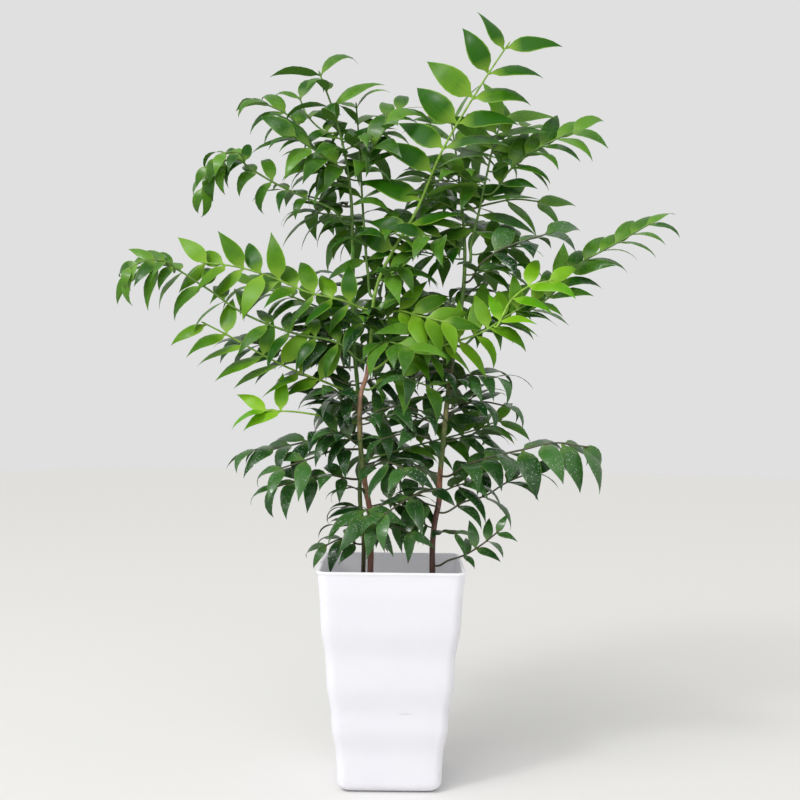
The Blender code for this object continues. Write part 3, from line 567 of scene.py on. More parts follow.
SHOOTS = [
    # The leafy tops that go on from the three stems
    Shoot("top_left", "stem_left_green", 652, [(-55, 0, 712), (-64, 0, 767), (-77, -5, 812),
          (-94, -10, 857)], foot=2.4, pairs=11, first=0.03, leaf=70, slim=0.145, roll=30, spread=(80, 70),
          whorl=40, arch=98, goes_on=True),
    Shoot("leader", "stem_left_brown", 512, [(-27, -10, 547), (-25, -10, 582), (-17, -10, 612),
          (0, -15, 645), (22, -20, 682), (55, -40, 757), (90, -50, 817), (118, -58, 860), (131, -60, 879)],
          foot=2.6, pairs=9, first=0.34, leaf=78, slim=0.18, roll=80, tilt=50, spread=(80, 42), whorl=5,
          arch=66, tone="light", goes_on=True),
    Shoot("top_right", "stem_right_brown", 567, [(85, 6, 604), (86, 10, 642), (84, 15, 682), (80, 20, 722),
          (74, 25, 772), (68, 30, 812)], foot=2.7, pairs=7, first=0.35, leaf=74, spread=(70, 65), whorl=30,
          arch=70, goes_on=True),
    # The second shoots of the two forks
    Shoot("shoot_up_left", "leader", 585, [(-33, -4, 617), (-37, 0, 657), (-41, 5, 707), (-46, 10, 782),
          (-50, 12, 825)], foot=1.9, pairs=11, leaf=70, slim=0.145, roll=35, spread=(76, 72), whorl=40,
          arch=95),
    Shoot("shoot_right", "top_right", 625, [(93, 0, 652), (101, -5, 687), (110, -6, 732), (120, -10, 777),
          (130, -12, 807)], foot=1.9, pairs=8, first=0.25, leaf=72, roll=50, spread=(70, 75), whorl=15,
          arch=50),
    # Sprays on the left
    Shoot("spray_left_arching", "top_left", 675, [(-75, -5, 691), (-110, -10, 705), (-145, -20, 720),
          (-172, -25, 735), (-190, -30, 746), (-210, -35, 741), (-225, -38, 725), (-230, -40, 706)],
          pairs=8, first=0.3, leaf=50, slim=0.145, roll=35, spread=(58, 60), droop=45, arch=105),
    Shoot("spray_left_row", "leader", 569, [(-60, -20, 579), (-105, -25, 589), (-145, -30, 605),
          (-190, -40, 617), (-228, -42, 621)], pairs=9, first=0.14, leaf=57, slim=0.18, roll=65, tilt=45,
          spread=(56, 58), arch=55, tone="light"),
    Shoot("spray_left_far", "stem_left_brown", 505, [(-65, -22, 527), (-120, -32, 539), (-180, -45, 562),
          (-225, -55, 592), (-270, -65, 615), (-293, -70, 613), (-308, -75, 603)], foot=1.7, pairs=10,
          first=0.14, leaf=60, slim=0.14, roll=55, tilt=30, spread=(66, 50), droop=50, arch=80),
    Shoot("spray_left_light", "stem_left_green", 470, [(-85, -10, 482), (-125, -25, 497), (-155, -40, 512),
          (-200, -60, 537), (-222, -65, 548)], pairs=7, first=0.25, leaf=60, slim=0.175, roll=80, tilt=40,
          spread=(85, 42), arch=52, tone="light"),
    Shoot("spray_left_sprig", "stem_left_green", 432, [(-75, -10, 438), (-118, -30, 445),
          (-152, -45, 446)], pairs=2, first=0.84, leaf=58, roll=60, spread=(85, 20), tone="young"),
    shaded("spray_left_dark", "stem_left_green", 419, [(-72, -2, 419), (-105, -12, 409), (-135, -22, 402),
           (-165, -30, 399)], pairs=6, leaf=60, roll=17, droop=12, arch=95),
    shaded("spray_left_dark_front", "stem_left_green", 399, [(-70, -20, 399), (-100, -42, 389),
           (-130, -60, 379)], leaf=60, roll=17, droop=12, arch=95),
    shaded("spray_left_low", "stem_left_green", 362, [(-80, -20, 369), (-110, -40, 364), (-136, -55, 357)],
           pairs=5, leaf=56, roll=27, droop=22, arch=88),
    shaded("spray_left_rim", "stem_left_green", 282, [(-60, -5, 291), (-80, -10, 283)], foot=1.3, pairs=3,
           leaf=46, roll=37, droop=27),
    # Sprays at the top
    Shoot("spray_top_left", "top_left", 729, [(-90, 0, 754), (-112, 0, 784), (-135, 0, 809),
          (-158, -5, 819)], pairs=6, leaf=68, slim=0.145, roll=35, whorl=20, arch=88),
    shaded("spray_top_back_left", "top_left", 697, [(-95, 38, 712), (-138, 70, 727)], pairs=2, leaf=60,
           roll=15, arch=88),
    Shoot("spray_top_outer", "top_left", 787, [(-108, 8, 807), (-120, 14, 832)], foot=1.3, pairs=3,
          roll=40, spread=(70, 72), arch=88),
    Shoot("spray_top_front", "shoot_up_left", 742, [(-28, -25, 762), (-12, -45, 782)], foot=1.3, pairs=3,
          leaf=66, arch=82),
    Shoot("spray_top_middle", "shoot_up_left", 777, [(-22, 20, 803), (2, 30, 823)], foot=1.3, leaf=66,
          slim=0.145, roll=35, arch=95),
    # Sprays on the right
    Shoot("spray_right_top", "shoot_right", 712, [(138, -15, 740), (162, -25, 759), (190, -35, 773),
          (212, -40, 782)], pairs=6, leaf=64, spread=(50, 45), arch=70),
    Shoot("spray_right_upper", "shoot_right", 762, [(140, 5, 787), (158, 15, 799)], foot=1.3, pairs=3,
          roll=50),
    Shoot("spray_right_back", "top_right", 697, [(118, 30, 707), (150, 30, 713), (178, 22, 709)], pairs=3,
          leaf=66),
    shaded("spray_right_glossy", "top_right", 605, [(105, -20, 627), (126, -32, 641), (152, -46, 650),
           (178, -56, 657)], leaf=70, slim=0.18, roll=27),
    Shoot("spray_right_far", "stem_right_brown", 527, [(105, 8, 545), (140, 0, 559), (185, -15, 585),
          (218, -20, 623), (262, -30, 649), (306, -35, 675)], foot=1.7, pairs=12, first=0.15, leaf=56,
          roll=40, spread=(40, 36), arch=66),
    Shoot("spray_right_light", "stem_left_brown", 497, [(0, -30, 513), (40, -40, 521), (72, -42, 530),
          (105, -50, 542), (135, -55, 562), (165, -60, 579)], foot=1.7, pairs=9, first=0.28, leaf=52,
          roll=75, tilt=50, spread=(75, 55), tone="light"),
    Shoot("spray_right_young", "spray_right_light", 549, [(138, -62, 580), (156, -70, 594),
          (180, -78, 600)], foot=1.2, leaf=52, roll=50, spread=(62, 40), tone="young"),
    # Sprays that fill the middle, towards the front
    Shoot("spray_middle_top", "top_right", 647, [(60, -12, 657), (38, -35, 657)], foot=1.3, pairs=3,
          leaf=60),
    Shoot("spray_middle", "leader", 552, [(0, -25, 567), (30, -45, 560), (58, -56, 553)], pairs=5, leaf=58,
          roll=60, tone="light"),
    Shoot("spray_middle_front", "leader", 527, [(-8, -45, 529), (16, -86, 521)], roll=35),
    shaded("spray_middle_right", "stem_right_brown", 497, [(48, -38, 495), (18, -72, 485)], pairs=3,
           leaf=58, roll=17, arch=88),
    Shoot("spray_middle_low", "stem_left_brown", 473, [(-10, -28, 485), (15, -46, 485), (42, -56, 477)],
          pairs=3, leaf=60, roll=40, arch=70),
    shaded("spray_centre", "stem_left_brown", 437, [(-15, -22, 448), (12, -38, 453), (36, -50, 447)],
           pairs=3, leaf=56, roll=17, arch=88),
    shaded("spray_centre_low", "stem_right_brown", 405, [(40, -22, 416), (12, -36, 420), (-14, -44, 414)],
           pairs=3, leaf=56, roll=20),
    # Sprays low on the right
    shaded("spray_right_middle", "stem_right_brown", 475, [(90, -15, 491), (122, -30, 489)], leaf=58,
           roll=17, arch=88),
    shaded("spray_right_lower", "stem_right_brown", 445, [(90, -5, 457), (112, -10, 459), (134, -12, 455)],
           pairs=3, leaf=57, roll=17, arch=88),
    Shoot("spray_right_crossing", "stem_left_brown", 387, [(10, 22, 399), (60, 32, 412), (100, 35, 423),
          (135, 35, 437)], pairs=6, first=0.3, leaf=58, roll=40, arch=70),
    shaded("spray_right_low", "stem_right_brown", 367, [(90, -15, 383), (118, -25, 393), (155, -40, 403),
           (192, -55, 412), (226, -65, 408)], pairs=7, leaf=68, slim=0.18, roll=27, spread=(60, 55),
           droop=42),
    shaded("spray_right_thin", "stem_right_brown", 322, [(88, 5, 336), (112, 5, 343), (140, 0, 361),
           (172, -5, 375)], foot=1.3, leaf=56, roll=27, droop=17),
    shaded("spray_right_rim", "stem_right_brown", 257, [(68, -6, 265), (88, -12, 273), (107, -20, 286),
           (127, -30, 304)], foot=1.3, first=0.45, leaf=36, slim=0.16, arch=70),
    # Sprays low in front, over the rim
    shaded("spray_front_right", "stem_right_brown", 352, [(45, -25, 353), (15, -60, 343), (-8, -86, 329)],
           pairs=3, leaf=58, roll=22, droop=22),
    shaded("spray_front", "stem_left_brown", 377, [(-10, -40, 387), (12, -76, 382)], pairs=3, roll=22,
           droop=17),
    shaded("spray_front_low", "stem_left_brown", 325, [(-30, -40, 329), (-24, -74, 319)], foot=1.3,
           roll=27, droop=37),
    shaded("spray_front_rim", "stem_left_brown", 302, [(0, -28, 309), (20, -56, 305)], foot=1.3, pairs=2,
           leaf=46, roll=32, droop=32),
    # Sprays at the back
    shaded("spray_back_left", "stem_left_green", 597, [(-62, 50, 615), (-78, 92, 625)], pairs=2, roll=15),
    Shoot("spray_back_top", "leader", 657, [(20, 28, 677), (40, 58, 694)], foot=1.3, pairs=3, leaf=60,
          roll=30),
    shaded("spray_back_right", "top_right", 592, [(108, 42, 607), (128, 86, 617)], pairs=2, roll=15),
    shaded("spray_back_middle", "stem_left_green", 447, [(-30, 48, 457), (-10, 86, 459)], pairs=2, leaf=60,
           roll=15),
    shaded("spray_back_low", "stem_right_brown", 432, [(76, 42, 445), (90, 80, 449)], pairs=2, leaf=60,
           roll=15),
]


def evaluated_mesh(thing):
    """A curve's surface with its caps welded."""
    evaluated = thing.evaluated_get(bpy.context.evaluated_depsgraph_get())
    mesh = bpy.data.meshes.new_from_object(evaluated)
    bm = bmesh.new()
    bm.from_mesh(mesh)
    bmesh.ops.remove_doubles(bm, verts=bm.verts, dist=0.001 * MM)
    bm.to_mesh(mesh)
    bm.free()
    return mesh


def search_tree(mesh):
    """A tree in millimetres to look for crossings with: metres are too coarse for such thin things."""
    return BVHTree.FromPolygons(
        [vertex.co / MM for vertex in mesh.vertices], [face.vertices[:] for face in mesh.polygons])


class Twig:
    """A tapering tube along a route: its line, radii, mesh and search tree."""

    def __init__(self, name, line, foot, end, sides_step):
        self.name = name
        self.line = line
        lengths = [0.0]
        for low, high in zip(line, line[1:]):
            lengths.append(lengths[-1] + (high - low).length)
        self.shares = [length / lengths[-1] for length in lengths]
        self.foot = foot
        self.end = end
        self.mesh = self.tube(sides_step)
        self.tree = search_tree(self.mesh)

    def radius(self, share):
        """The tube's radius at this share of its length."""
        return self.foot + (self.end - self.foot) * share

    def tube(self, sides_step):
        """The tube's mesh, from a curve with a bevel."""
        curve = bpy.data.curves.new(self.name, "CURVE")
        curve.dimensions = "3D"
        curve.bevel_depth = MM
        curve.bevel_resolution = sides_step
        curve.use_fill_caps = True
        spline = curve.splines.new("POLY")
        spline.points.add(len(self.line) - 1)
        for point, place, share in zip(spline.points, self.line, self.shares):
            point.co = (*place, 1.0)
            point.radius = self.radius(share) / MM
        guide = bpy.data.objects.new(self.name, curve)
        bpy.context.scene.collection.objects.link(guide)
        mesh = evaluated_mesh(guide)
        bpy.data.objects.remove(guide)
        bpy.data.curves.remove(curve)
        return mesh

    def at(self, share):
        """Place and direction at this share of the length."""
        for index in range(len(self.line) - 1):
            if share <= self.shares[index + 1] or index == len(self.line) - 2:
                low, high = self.line[index], self.line[index + 1]
                part = (share - self.shares[index]) / (self.shares[index + 1] - self.shares[index])
                return low.lerp(high, part), (high - low).normalized()

    def at_height(self, height):
        """The axis where it passes this height."""
        for low, high in zip(self.line, self.line[1:]):
            if low.z <= height <= high.z:
                return low.lerp(high, (height - low.z) / (high.z - low.z))
        return self.line[-1]

    def shift(self, share):
        """How far the smooth twig lies from the straight route at this share of the length."""
        for index, (low, high) in enumerate(zip(self.shares, self.shares[1:])):
            if low <= share <= high:
                place = index + (share - low) / (high - low)
                return smooth_point(self.line, place) - self.at(share)[0]


def clear_line(line, radius, others, parent):
    """Whether a twig along this line misses every other one, away from its own foot."""
    for low, high in zip(line, line[1:]):
        steps = max(2, int((high - low).length / PROBE_STEP))
        for step in range(steps):
            point = low.lerp(high, step / steps)
            near_foot = (point - line[0]).length < NEAR_FOOT
            for other in others:
                if other is parent and near_foot:
                    continue
                if other.tree.find_nearest(point / MM, radius / MM + TWIG_CLEARANCE)[0] is not None:
                    return False
    return True


def twig_line(shoot, parent, twigs):
    """The shoot's route, from the surface of what it grows from, bent clear of the twigs before it."""
    points = [Vector(point) * MM for point in shoot.route]
    if shoot.goes_on:
        end, direction = parent.at(1.0)
        return [end + direction * GAP, *points]
    axis = parent.at_height(shoot.height * MM)
    outward = points[0] - axis
    outward = Vector((outward.x, outward.y, TWIG_RISE * outward.length)).normalized()
    well_outside = axis / MM + outward * 20
    hit, normal, _, _ = parent.tree.ray_cast(well_outside, -outward)
    foot = [hit * MM + normal * GAP, hit * MM + normal * (GAP + TWIG_STUB)]
    for bend in BENDS:
        bent = []
        for index, point in enumerate(points):
            share = (index + 1) / len(points)
            bent.append(point + Vector((0, bend * MM * math.sin(math.pi * share * BEND_RUN), 0)))
        line = foot + bent
        if clear_line(line, shoot.foot * MM, twigs, parent):
            return line
    return line


@dataclass
class Blade:
    """What a leaf measures: metres, radians, and half its width over its length."""

    length: float
    slim: float
    arch: float
    sway: float

    def half_width(self, share):
        """Half the width at this share of the length."""
        if share <= STALK_SHARE:
            return STALK_HALF_WIDTH
        along = (share - STALK_SHARE) / (1 - STALK_SHARE)
        outline = (along / BEFORE_WIDEST) ** (2 * BEFORE_WIDEST)
        outline *= ((1 - along) / PAST_WIDEST) ** (2 * PAST_WIDEST)
        return STALK_HALF_WIDTH * (1 - share) + self.slim * self.length * outline

    def midrib(self, share):
        """How far along and up the middle line is, and its slope, at this share of the length."""
        along, up = 0.0, 0.0
        for step in range(MIDRIB_STEPS):
            slope = -self.arch * (((step + 0.5) / MIDRIB_STEPS * share) ** BEND_POWER - START_RISE)
            along += math.cos(slope) * share * self.length / MIDRIB_STEPS
            up += math.sin(slope) * share * self.length / MIDRIB_STEPS
        return along, up, -self.arch * (share ** BEND_POWER - START_RISE)


def leaf_hull(blade, grow=0.0):
    """A leaf from its root at the origin along +Y, upper face up: a three-sided ball drawn to its outline.

    Where grow is given it is a four-sided hull that lies about that far outside the leaf, and three times as
    far past its pointed tip.
    """
    sides = 4 if grow else 3
    bm = bmesh.new()
    bmesh.ops.create_uvsphere(bm, u_segments=sides, v_segments=len(LEAF_RINGS) + 1, radius=1.0)
    levels = sorted({round(vertex.co.z, 4) for vertex in bm.verts})
    shares = dict(zip(levels, (0.0, *LEAF_RINGS, 1.0)))
    for vertex in bm.verts:
        share = shares[round(vertex.co.z, 4)]
        along, up, slope = blade.midrib(share)
        across, depth = 0.0, 0.0
        if share == 1.0:
            along += 3 * grow * math.cos(slope)
            up += 3 * grow * math.sin(slope)
        elif share > 0.0:
            half = blade.half_width(share) + grow
            keel = (STALK_DEPTH if share <= STALK_SHARE else BLADE_DEPTH) + grow
            corners = ((half, 0.0), (0.0, grow), (-half, 0.0), (0.0, -keel)) if grow else (
                (0.0, -keel), (half, 0.0), (-half, 0.0))
            turn = math.atan2(vertex.co.y, vertex.co.x) / math.tau
            across, depth = corners[round(turn * sides) % sides]
        across += blade.sway * blade.length * share ** 2
        vertex.co = (across, along - depth * math.sin(slope), up + depth * math.cos(slope))
    if bm.calc_volume(signed=True) < 0:
        bmesh.ops.reverse_faces(bm, faces=bm.faces)
    return bm


def leaf_place(root, direction, plane, front, turn, roll):
    """The matrix that stands a leaf on its root: turned in the spray's plane, facing the light, rolled."""
    direction = Matrix.Rotation(turn, 3, plane) @ direction
    up = (front - direction * front.dot(direction)).normalized()
    up = Matrix.Rotation(roll, 3, direction) @ up
    across = direction.cross(up)
    place = Matrix((across, direction, up)).transposed().to_4x4()
    place.translation = root
    return place


def tree_of(bm, place, skip_root=False):
    """A search tree of a leaf where it stands, or of all but the end at its root."""
    points = [place @ vertex.co / MM for vertex in bm.verts]
    bm.verts.index_update()
    root = min(bm.verts, key=lambda vertex: vertex.co.length)
    near = {root.index}
    if skip_root:
        near |= {edge.other_vert(root).index for edge in root.link_edges}
    faces = []
    for face in bm.faces:
        corners = [vertex.index for vertex in face.verts]
        if not skip_root or not near & set(corners):
            faces.append(corners)
    return BVHTree.FromPolygons(points, faces)


class Leaf:
    """A leaf that has found its place."""

    def __init__(self, owner, share, blade, place):
        self.owner = owner
        self.share = share
        self.blade = blade
        self.place = place
        bm = leaf_hull(blade)
        self.middle = place @ Vector((0, blade.length / 2, 0))
        self.tree = tree_of(bm, place)
        self.outer = tree_of(bm, place, skip_root=True)
        bm.free()


TRIAL_TURNS = (0, 9, -9, 18, -18)  # degrees
TRIAL_ROLLS = (0, 14, -14, 28, -28)
TRIAL_SIZES = (1.0, 0.88, 0.76)
TURN_COST = 1.4  # how much more a degree of turn counts than one of roll
MEETING_RANGE = 0.6  # share of two leaves' lengths: with their middles further apart they can't meet


def trials():
    """Small changes of turn, roll and size, the least first, that a leaf tries until it is clear."""
    changes = [(turn, roll) for turn in TRIAL_TURNS for roll in TRIAL_ROLLS]
    changes.sort(key=lambda change: abs(change[0]) * TURN_COST + abs(change[1]))
    for size in TRIAL_SIZES:
        for turn, roll in changes:
            yield math.radians(turn), math.radians(roll), size


def is_clear(owner, blade, place, twigs, leaves, solids):
    """Whether a leaf there misses all else but what it grows on."""
    bm = leaf_hull(blade, LEAF_CLEARANCE)
    fat = tree_of(bm, place)
    outer = tree_of(bm, place, skip_root=True)
    bm.free()
    if any(fat.overlap(solid) for solid in solids):
        return False
    for twig in twigs:
        if (outer if twig.name == owner else fat).overlap(twig.tree):
            return False
    middle = place @ Vector((0, blade.length / 2, 0))
    for leaf in leaves:
        if (leaf.middle - middle).length > (leaf.blade.length + blade.length) * MEETING_RANGE:
            continue
        if outer.overlap(leaf.outer) if leaf.owner == owner else fat.overlap(leaf.tree):
            return False
    return True


# How far the leaves of one shoot stray from its rule: degrees, or shares of what the rule gives
PAIR_STRAY = 8
SPREAD_STRAY = 9
ROLL_STRAY = 14
LENGTHS = (0.9, 1.08)
ARCHES = (0.6, 1.4)
SWAYS = (-0.05, 0.05)
PLACE_STRAY = 0.012  # share of the twig
LAST_PAIR = 0.985  # share of the twig
ROOT_DEPTH = 0.45  # share of the twig's radius
UPPER_OR_LEFT = Vector((-0.3, 0, 1))


def grow_leaves(shoot, twig, twigs, leaves, solids):
    """Place the shoot's leaves by its rule, each moved by small steps until it is clear. One that nothing
    clears is left out. Towards the tip they stand closer to the twig and hang more, and the longest are just
    before its middle."""
    draw = random.Random(shoot.name)
    light = math.radians(shoot.roll)
    front = Vector((0, -math.sin(light), math.cos(light)))
    lights = (front, Matrix.Rotation(-math.radians(shoot.tilt), 3, "X") @ front)
    for pair in range(shoot.pairs):
        along = pair / max(shoot.pairs - 1, 1)
        turned = math.radians(shoot.whorl * (1 if pair % 2 else -1) + draw.gauss(0, PAIR_STRAY))
        for side in (0, 1):
            share = shoot.first + (LAST_PAIR - shoot.first) * along + draw.uniform(-PLACE_STRAY, 0.0)
            point, direction = twig.at(share)
            plane = (front - direction * front.dot(direction)).normalized()
            upper = direction.cross(plane)
            if upper.dot(UPPER_OR_LEFT) < 0:
                upper = -upper
            sideways = Matrix.Rotation(turned, 3, direction) @ (upper if side == 0 else -upper)
            spread = shoot.spread[side] * (1.08 - 0.4 * along ** 2)
            spread = math.radians(spread + draw.uniform(-SPREAD_STRAY, SPREAD_STRAY))
            heading = direction * math.cos(spread) + sideways * math.sin(spread)
            hang = math.radians(shoot.droop * (0.3 + 0.7 * along ** 1.5))
            heading = (heading * math.cos(hang) - Vector((0, 0, math.sin(hang)))).normalized()
            length = shoot.leaf * MM * (0.8 + 0.28 * math.sin(math.pi * (0.15 + 0.75 * along)))
            blade = Blade(length * draw.uniform(*LENGTHS), shoot.slim,
                          math.radians(shoot.arch * draw.uniform(*ARCHES)), draw.uniform(*SWAYS))
            rolled = math.radians(draw.gauss(0, ROLL_STRAY))
            root = point - heading * twig.radius(share) * ROOT_DEPTH
            for turn, roll, size in trials():
                place = leaf_place(root, heading, plane, lights[side], turn, rolled + roll)
                smaller = replace(blade, length=blade.length * size)
                if is_clear(shoot.name, smaller, place, twigs, leaves, solids):
                    leaves.append(Leaf(shoot.name, share, smaller, place))
                    break


twigs = {}
for stem in STEMS:
    line = [Vector(point) * MM for point in stem.route]
    twigs[stem.name] = Twig(stem.name, line, stem.foot * MM, stem.end * MM, 1)
for shoot in SHOOTS:
    parent = twigs[shoot.grows_from]
    line = twig_line(shoot, parent, list(twigs.values()))
    foot = parent.end if shoot.goes_on else shoot.foot * MM
    twigs[shoot.name] = Twig(shoot.name, line, foot, TWIG_END_RADIUS, 1 if shoot.goes_on else 0)
solids = [search_tree(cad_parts[node].data) for node in ("pot", "soil")]
leaves = []
for shoot in SHOOTS:
    grow_leaves(shoot, twigs[shoot.name], list(twigs.values()), leaves, solids)

BLADE_ROWS = (0.0, 0.08, 0.17, 0.28, 0.4, 0.54, 0.68, 0.82, 0.93, 1.0)
BLADE_COLUMNS = 2
BLADE_THICKNESS = 0.45 * MM
STALK_SWELL = 0.6 * MM  # how much thicker the stalk is
STALK_FADE = 0.1  # share of the length
MARGIN_WAVES = 1.6
BLADE_WIDTH = 19.5 * MM  # of a usual leaf
VEIN_SPACING = 0.65 * MM  # real ones stand about twice as close, too fine to show
VEIN_STREAKS = 1.6  # from stalk to tip
LIGHT_THROUGH = 0.28  # share of the light that comes through the blade
SPECK_COLOUR = "#B9C2B4"
TWIG_SIDES = 10
TWIG_STEP = 4 * MM
TWIG_SINK = 1.2  # mm, into what it grows from
BUD_LENGTH = 3  # mm
BUD_RADIUS = 0.25 * MM


@dataclass
class Finish:
    """Colours of a tone's leaves and twigs: the upper face's darkest and palest green, its stalk end, the
    underside, what shines through, the twig, and how rough, glossy and specked the leaf's skin is."""

    deep: str
    pale: str
    base: str
    under: str
    through: str
    twig: str
    roughness: float
    gloss: float
    specks: float = 0.0


FINISHES = {
    "young": Finish("#5AA008", "#90C422", "#B0D84C", "#86B838", "#9CE010", "#90B840", 0.36, 0.3),
    "light": Finish("#2A6008", "#74A81E", "#98C040", "#6C9434", "#7EC01A", "#7AA036", 0.34, 0.25),
    "mid": Finish("#24540F", "#64982C", "#84AC40", "#5C8434", "#6CB41E", "#5C8030", 0.24, 0.32, 0.2),
    "dark": Finish("#1C401C", "#4A7A3A", "#6A8E44", "#527238", "#4E8E2C", "#4C4E34", 0.16, 0.5, 0.8),
}


def living_leaf(tone, finish):
    """A nagi leaf: a waxy leathery skin that shines in soft streaks, the veins just under it as fine lines
    from stalk to tip, light coming through the blade, and on old leaves the whitish specks of dried water."""
    material = blank_material("nagi_leaf_" + tone)
    leaf_uv = add_node(material, "UVMap", uv_map="leaf")
    object_place = add_node(material, "TexCoord").outputs["Object"]
    across_and_along = add_node(material, "SeparateXYZ", (leaf_uv,))
    along = across_and_along.outputs["Y"]
    shade = add_node(material, "Attribute", attribute_name="shade").outputs["Fac"]
    under = add_node(material, "Attribute", attribute_name="under").outputs["Fac"]
    veins = add_node(material, "Mapping", {
        "Vector": leaf_uv, "Scale": (BLADE_WIDTH / VEIN_SPACING, VEIN_STREAKS, 1.0)})
    veins = add_node(material, "TexNoise", {"Vector": veins, "Scale": 1.0, "Detail": 2.0})
    clouds = add_node(material, "TexNoise", {"Vector": object_place, "Scale": 1 / (14 * MM), "Detail": 2.0})
    streaks = add_node(material, "MapRange", (veins, 0.3, 0.7, -0.2, 0.2))
    mottle = add_node(material, "MapRange", (clouds, 0.3, 0.7, -0.12, 0.12))
    to_tip = add_node(material, "MapRange", (along, 0.1, 1.0, 0.12, -0.22))
    mix = add_node(material, "Math", (shade, streaks), operation="ADD")
    mix = add_node(material, "Math", (mix, to_tip), operation="ADD")
    mix = add_node(material, "Math", (mix, mottle), operation="ADD", use_clamp=True)
    upper = add_node(material, "Mix", {
        "Factor": mix, "A": srgb(finish.deep), "B": srgb(finish.pale)}, data_type="RGBA")
    off_middle = add_node(material, "Math", (across_and_along.outputs["X"], 0.5), operation="SUBTRACT")
    off_middle = add_node(material, "Math", (off_middle,), operation="ABSOLUTE")
    margin = add_node(material, "MapRange", (off_middle, 0.42, 0.5, 0.0, 0.75))
    stalk = add_node(material, "MapRange", (along, 0.04, 0.3, 0.85, 0.0))
    pale = add_node(material, "Math", (margin, stalk), operation="MAXIMUM")
    upper = add_node(material, "Mix", {
        "Factor": pale, "A": upper, "B": srgb(finish.base)}, data_type="RGBA")
    dots = add_node(material, "TexVoronoi", {"Vector": object_place, "Scale": 1 / (3 * MM)})
    dots = add_node(material, "MapRange", (dots, 0.14, 0.28, finish.specks, 0.0))
    where = add_node(material, "TexNoise", {"Vector": object_place, "Scale": 1 / (22 * MM), "Detail": 1.0})
    where = add_node(material, "MapRange", (where, 0.4, 0.55))
    dots = add_node(material, "Math", (dots, where), operation="MULTIPLY")
    upper = add_node(material, "Mix", {"Factor": dots, "A": upper, "B": srgb(SPECK_COLOUR)}, data_type="RGBA")
    colour = add_node(material, "Mix", {
        "Factor": under, "A": upper, "B": srgb(finish.under)}, data_type="RGBA")
    roughness = add_node(material, "MapRange", (
        clouds, 0.3, 0.7, finish.roughness - 0.05, finish.roughness + 0.08))
    roughness = add_node(material, "Mix", {"Factor": under, "A": roughness, "B": 0.6})
    bump = add_node(material, "Bump", {"Height": veins, "Strength": 0.5, "Distance": 0.12 * MM})
    skin = add_node(material, "BsdfPrincipled", {
        "Base Color": colour, "Roughness": roughness, "Normal": bump, "Specular IOR Level": finish.gloss})
    through = add_node(material, "BsdfTranslucent", {"Color": srgb(finish.through), "Normal": bump})
    shader = add_node(material, "MixShader", (LIGHT_THROUGH, skin, through))
    add_node(material, "OutputMaterial", {"Surface": shader})
    return material


def twig_skin(tone, colour):
    """The skin of a twig in its tone's colour, green on young shoots and browner on old ones, mottled paler
    and darker with a slight bump.
    """
    material = blank_material("nagi_twig_" + tone)
    object_place = add_node(material, "TexCoord").outputs["Object"]
    patches = add_node(material, "TexNoise", {"Vector": object_place, "Scale": 1 / (6 * MM), "Detail": 3.0})
    share = add_node(material, "MapRange", (patches, 0.35, 0.65, 0.7, 1.2))
    colour = add_node(material, "VectorMath", {
        "Vector": srgb(colour)[:3], "Scale": share}, operation="SCALE")
    bump = add_node(material, "Bump", {"Height": patches, "Strength": 0.4, "Distance": 0.2 * MM})
    shader = add_node(material, "BsdfPrincipled", {"Base Color": colour, "Roughness": 0.45, "Normal": bump})
    add_node(material, "OutputMaterial", {"Surface": shader})
    return material


@dataclass
class Habit:
    """What makes one leaf differ from the next: how hollow and how twisted it is, how its margin waves, and
    its shade."""

    hollow: float
    twist: float
    wave: float
    phase: float
    shade: float


def blade_point(blade, habit, across, share, lift):
    """A point of the fine blade: across runs from -1 to 1, and lift raises it off the upper face."""
    along, up, slope = blade.midrib(share)
    half = blade.half_width(share)
    ripple = habit.wave * math.sin(math.tau * (MARGIN_WAVES * share + habit.phase) + across) * across ** 2
    turn = habit.twist * share
    depth = half * (habit.hollow * (across ** 2 - 0.2) + ripple + across * math.sin(turn)) + lift
    x = across * half * math.cos(turn) + blade.sway * blade.length * share ** 2
    return Vector((x, along - depth * math.sin(slope), up + depth * math.cos(slope)))


def thickness(across, share):
    """How thick the leaf is there: a stout stalk, and a blade that thins to its margin and tip."""
    blade = BLADE_THICKNESS * (1 - 0.5 * across ** 2) * (1 - 0.4 * share)
    return blade + STALK_SWELL * (1 - smooth_step(share / STALK_FADE))


def add_leaf(bm, layers, leaf, shift, habit):
    """Add a leaf: a grid, doubled by extruding it, whose sheets take the upper and the under face's shape."""
    rows = len(BLADE_ROWS) - 1
    verts = bmesh.ops.create_grid(bm, x_segments=BLADE_COLUMNS, y_segments=rows, size=1.0)["verts"]
    faces = list(dict.fromkeys(face for vertex in verts for face in vertex.link_faces))
    made = bmesh.ops.extrude_face_region(bm, geom=faces + edges_at(verts), use_keep_orig=True)["geom"]
    upper = {part for part in made if isinstance(part, bmesh.types.BMVert)}
    top_faces = {part for part in made if isinstance(part, bmesh.types.BMFace)}
    place = Matrix.Translation(shift) @ leaf.place
    spots = {}
    for vertex in [*verts, *upper]:
        across, share = vertex.co.x, BLADE_ROWS[round((vertex.co.y + 1) / 2 * rows)]
        lift = 0.0 if vertex in upper else -thickness(across, share)
        spots[vertex] = (across / 2 + 0.5, share)
        vertex.co = place @ blade_point(leaf.blade, habit, across, share, lift)
    for face in {face for vertex in spots for face in vertex.link_faces}:
        face[layers["shade"]] = habit.shade
        face[layers["under"]] = 0.0 if face in top_faces else 1.0
        for loop in face.loops:
            loop[layers["leaf"]].uv = spots[loop.vert]


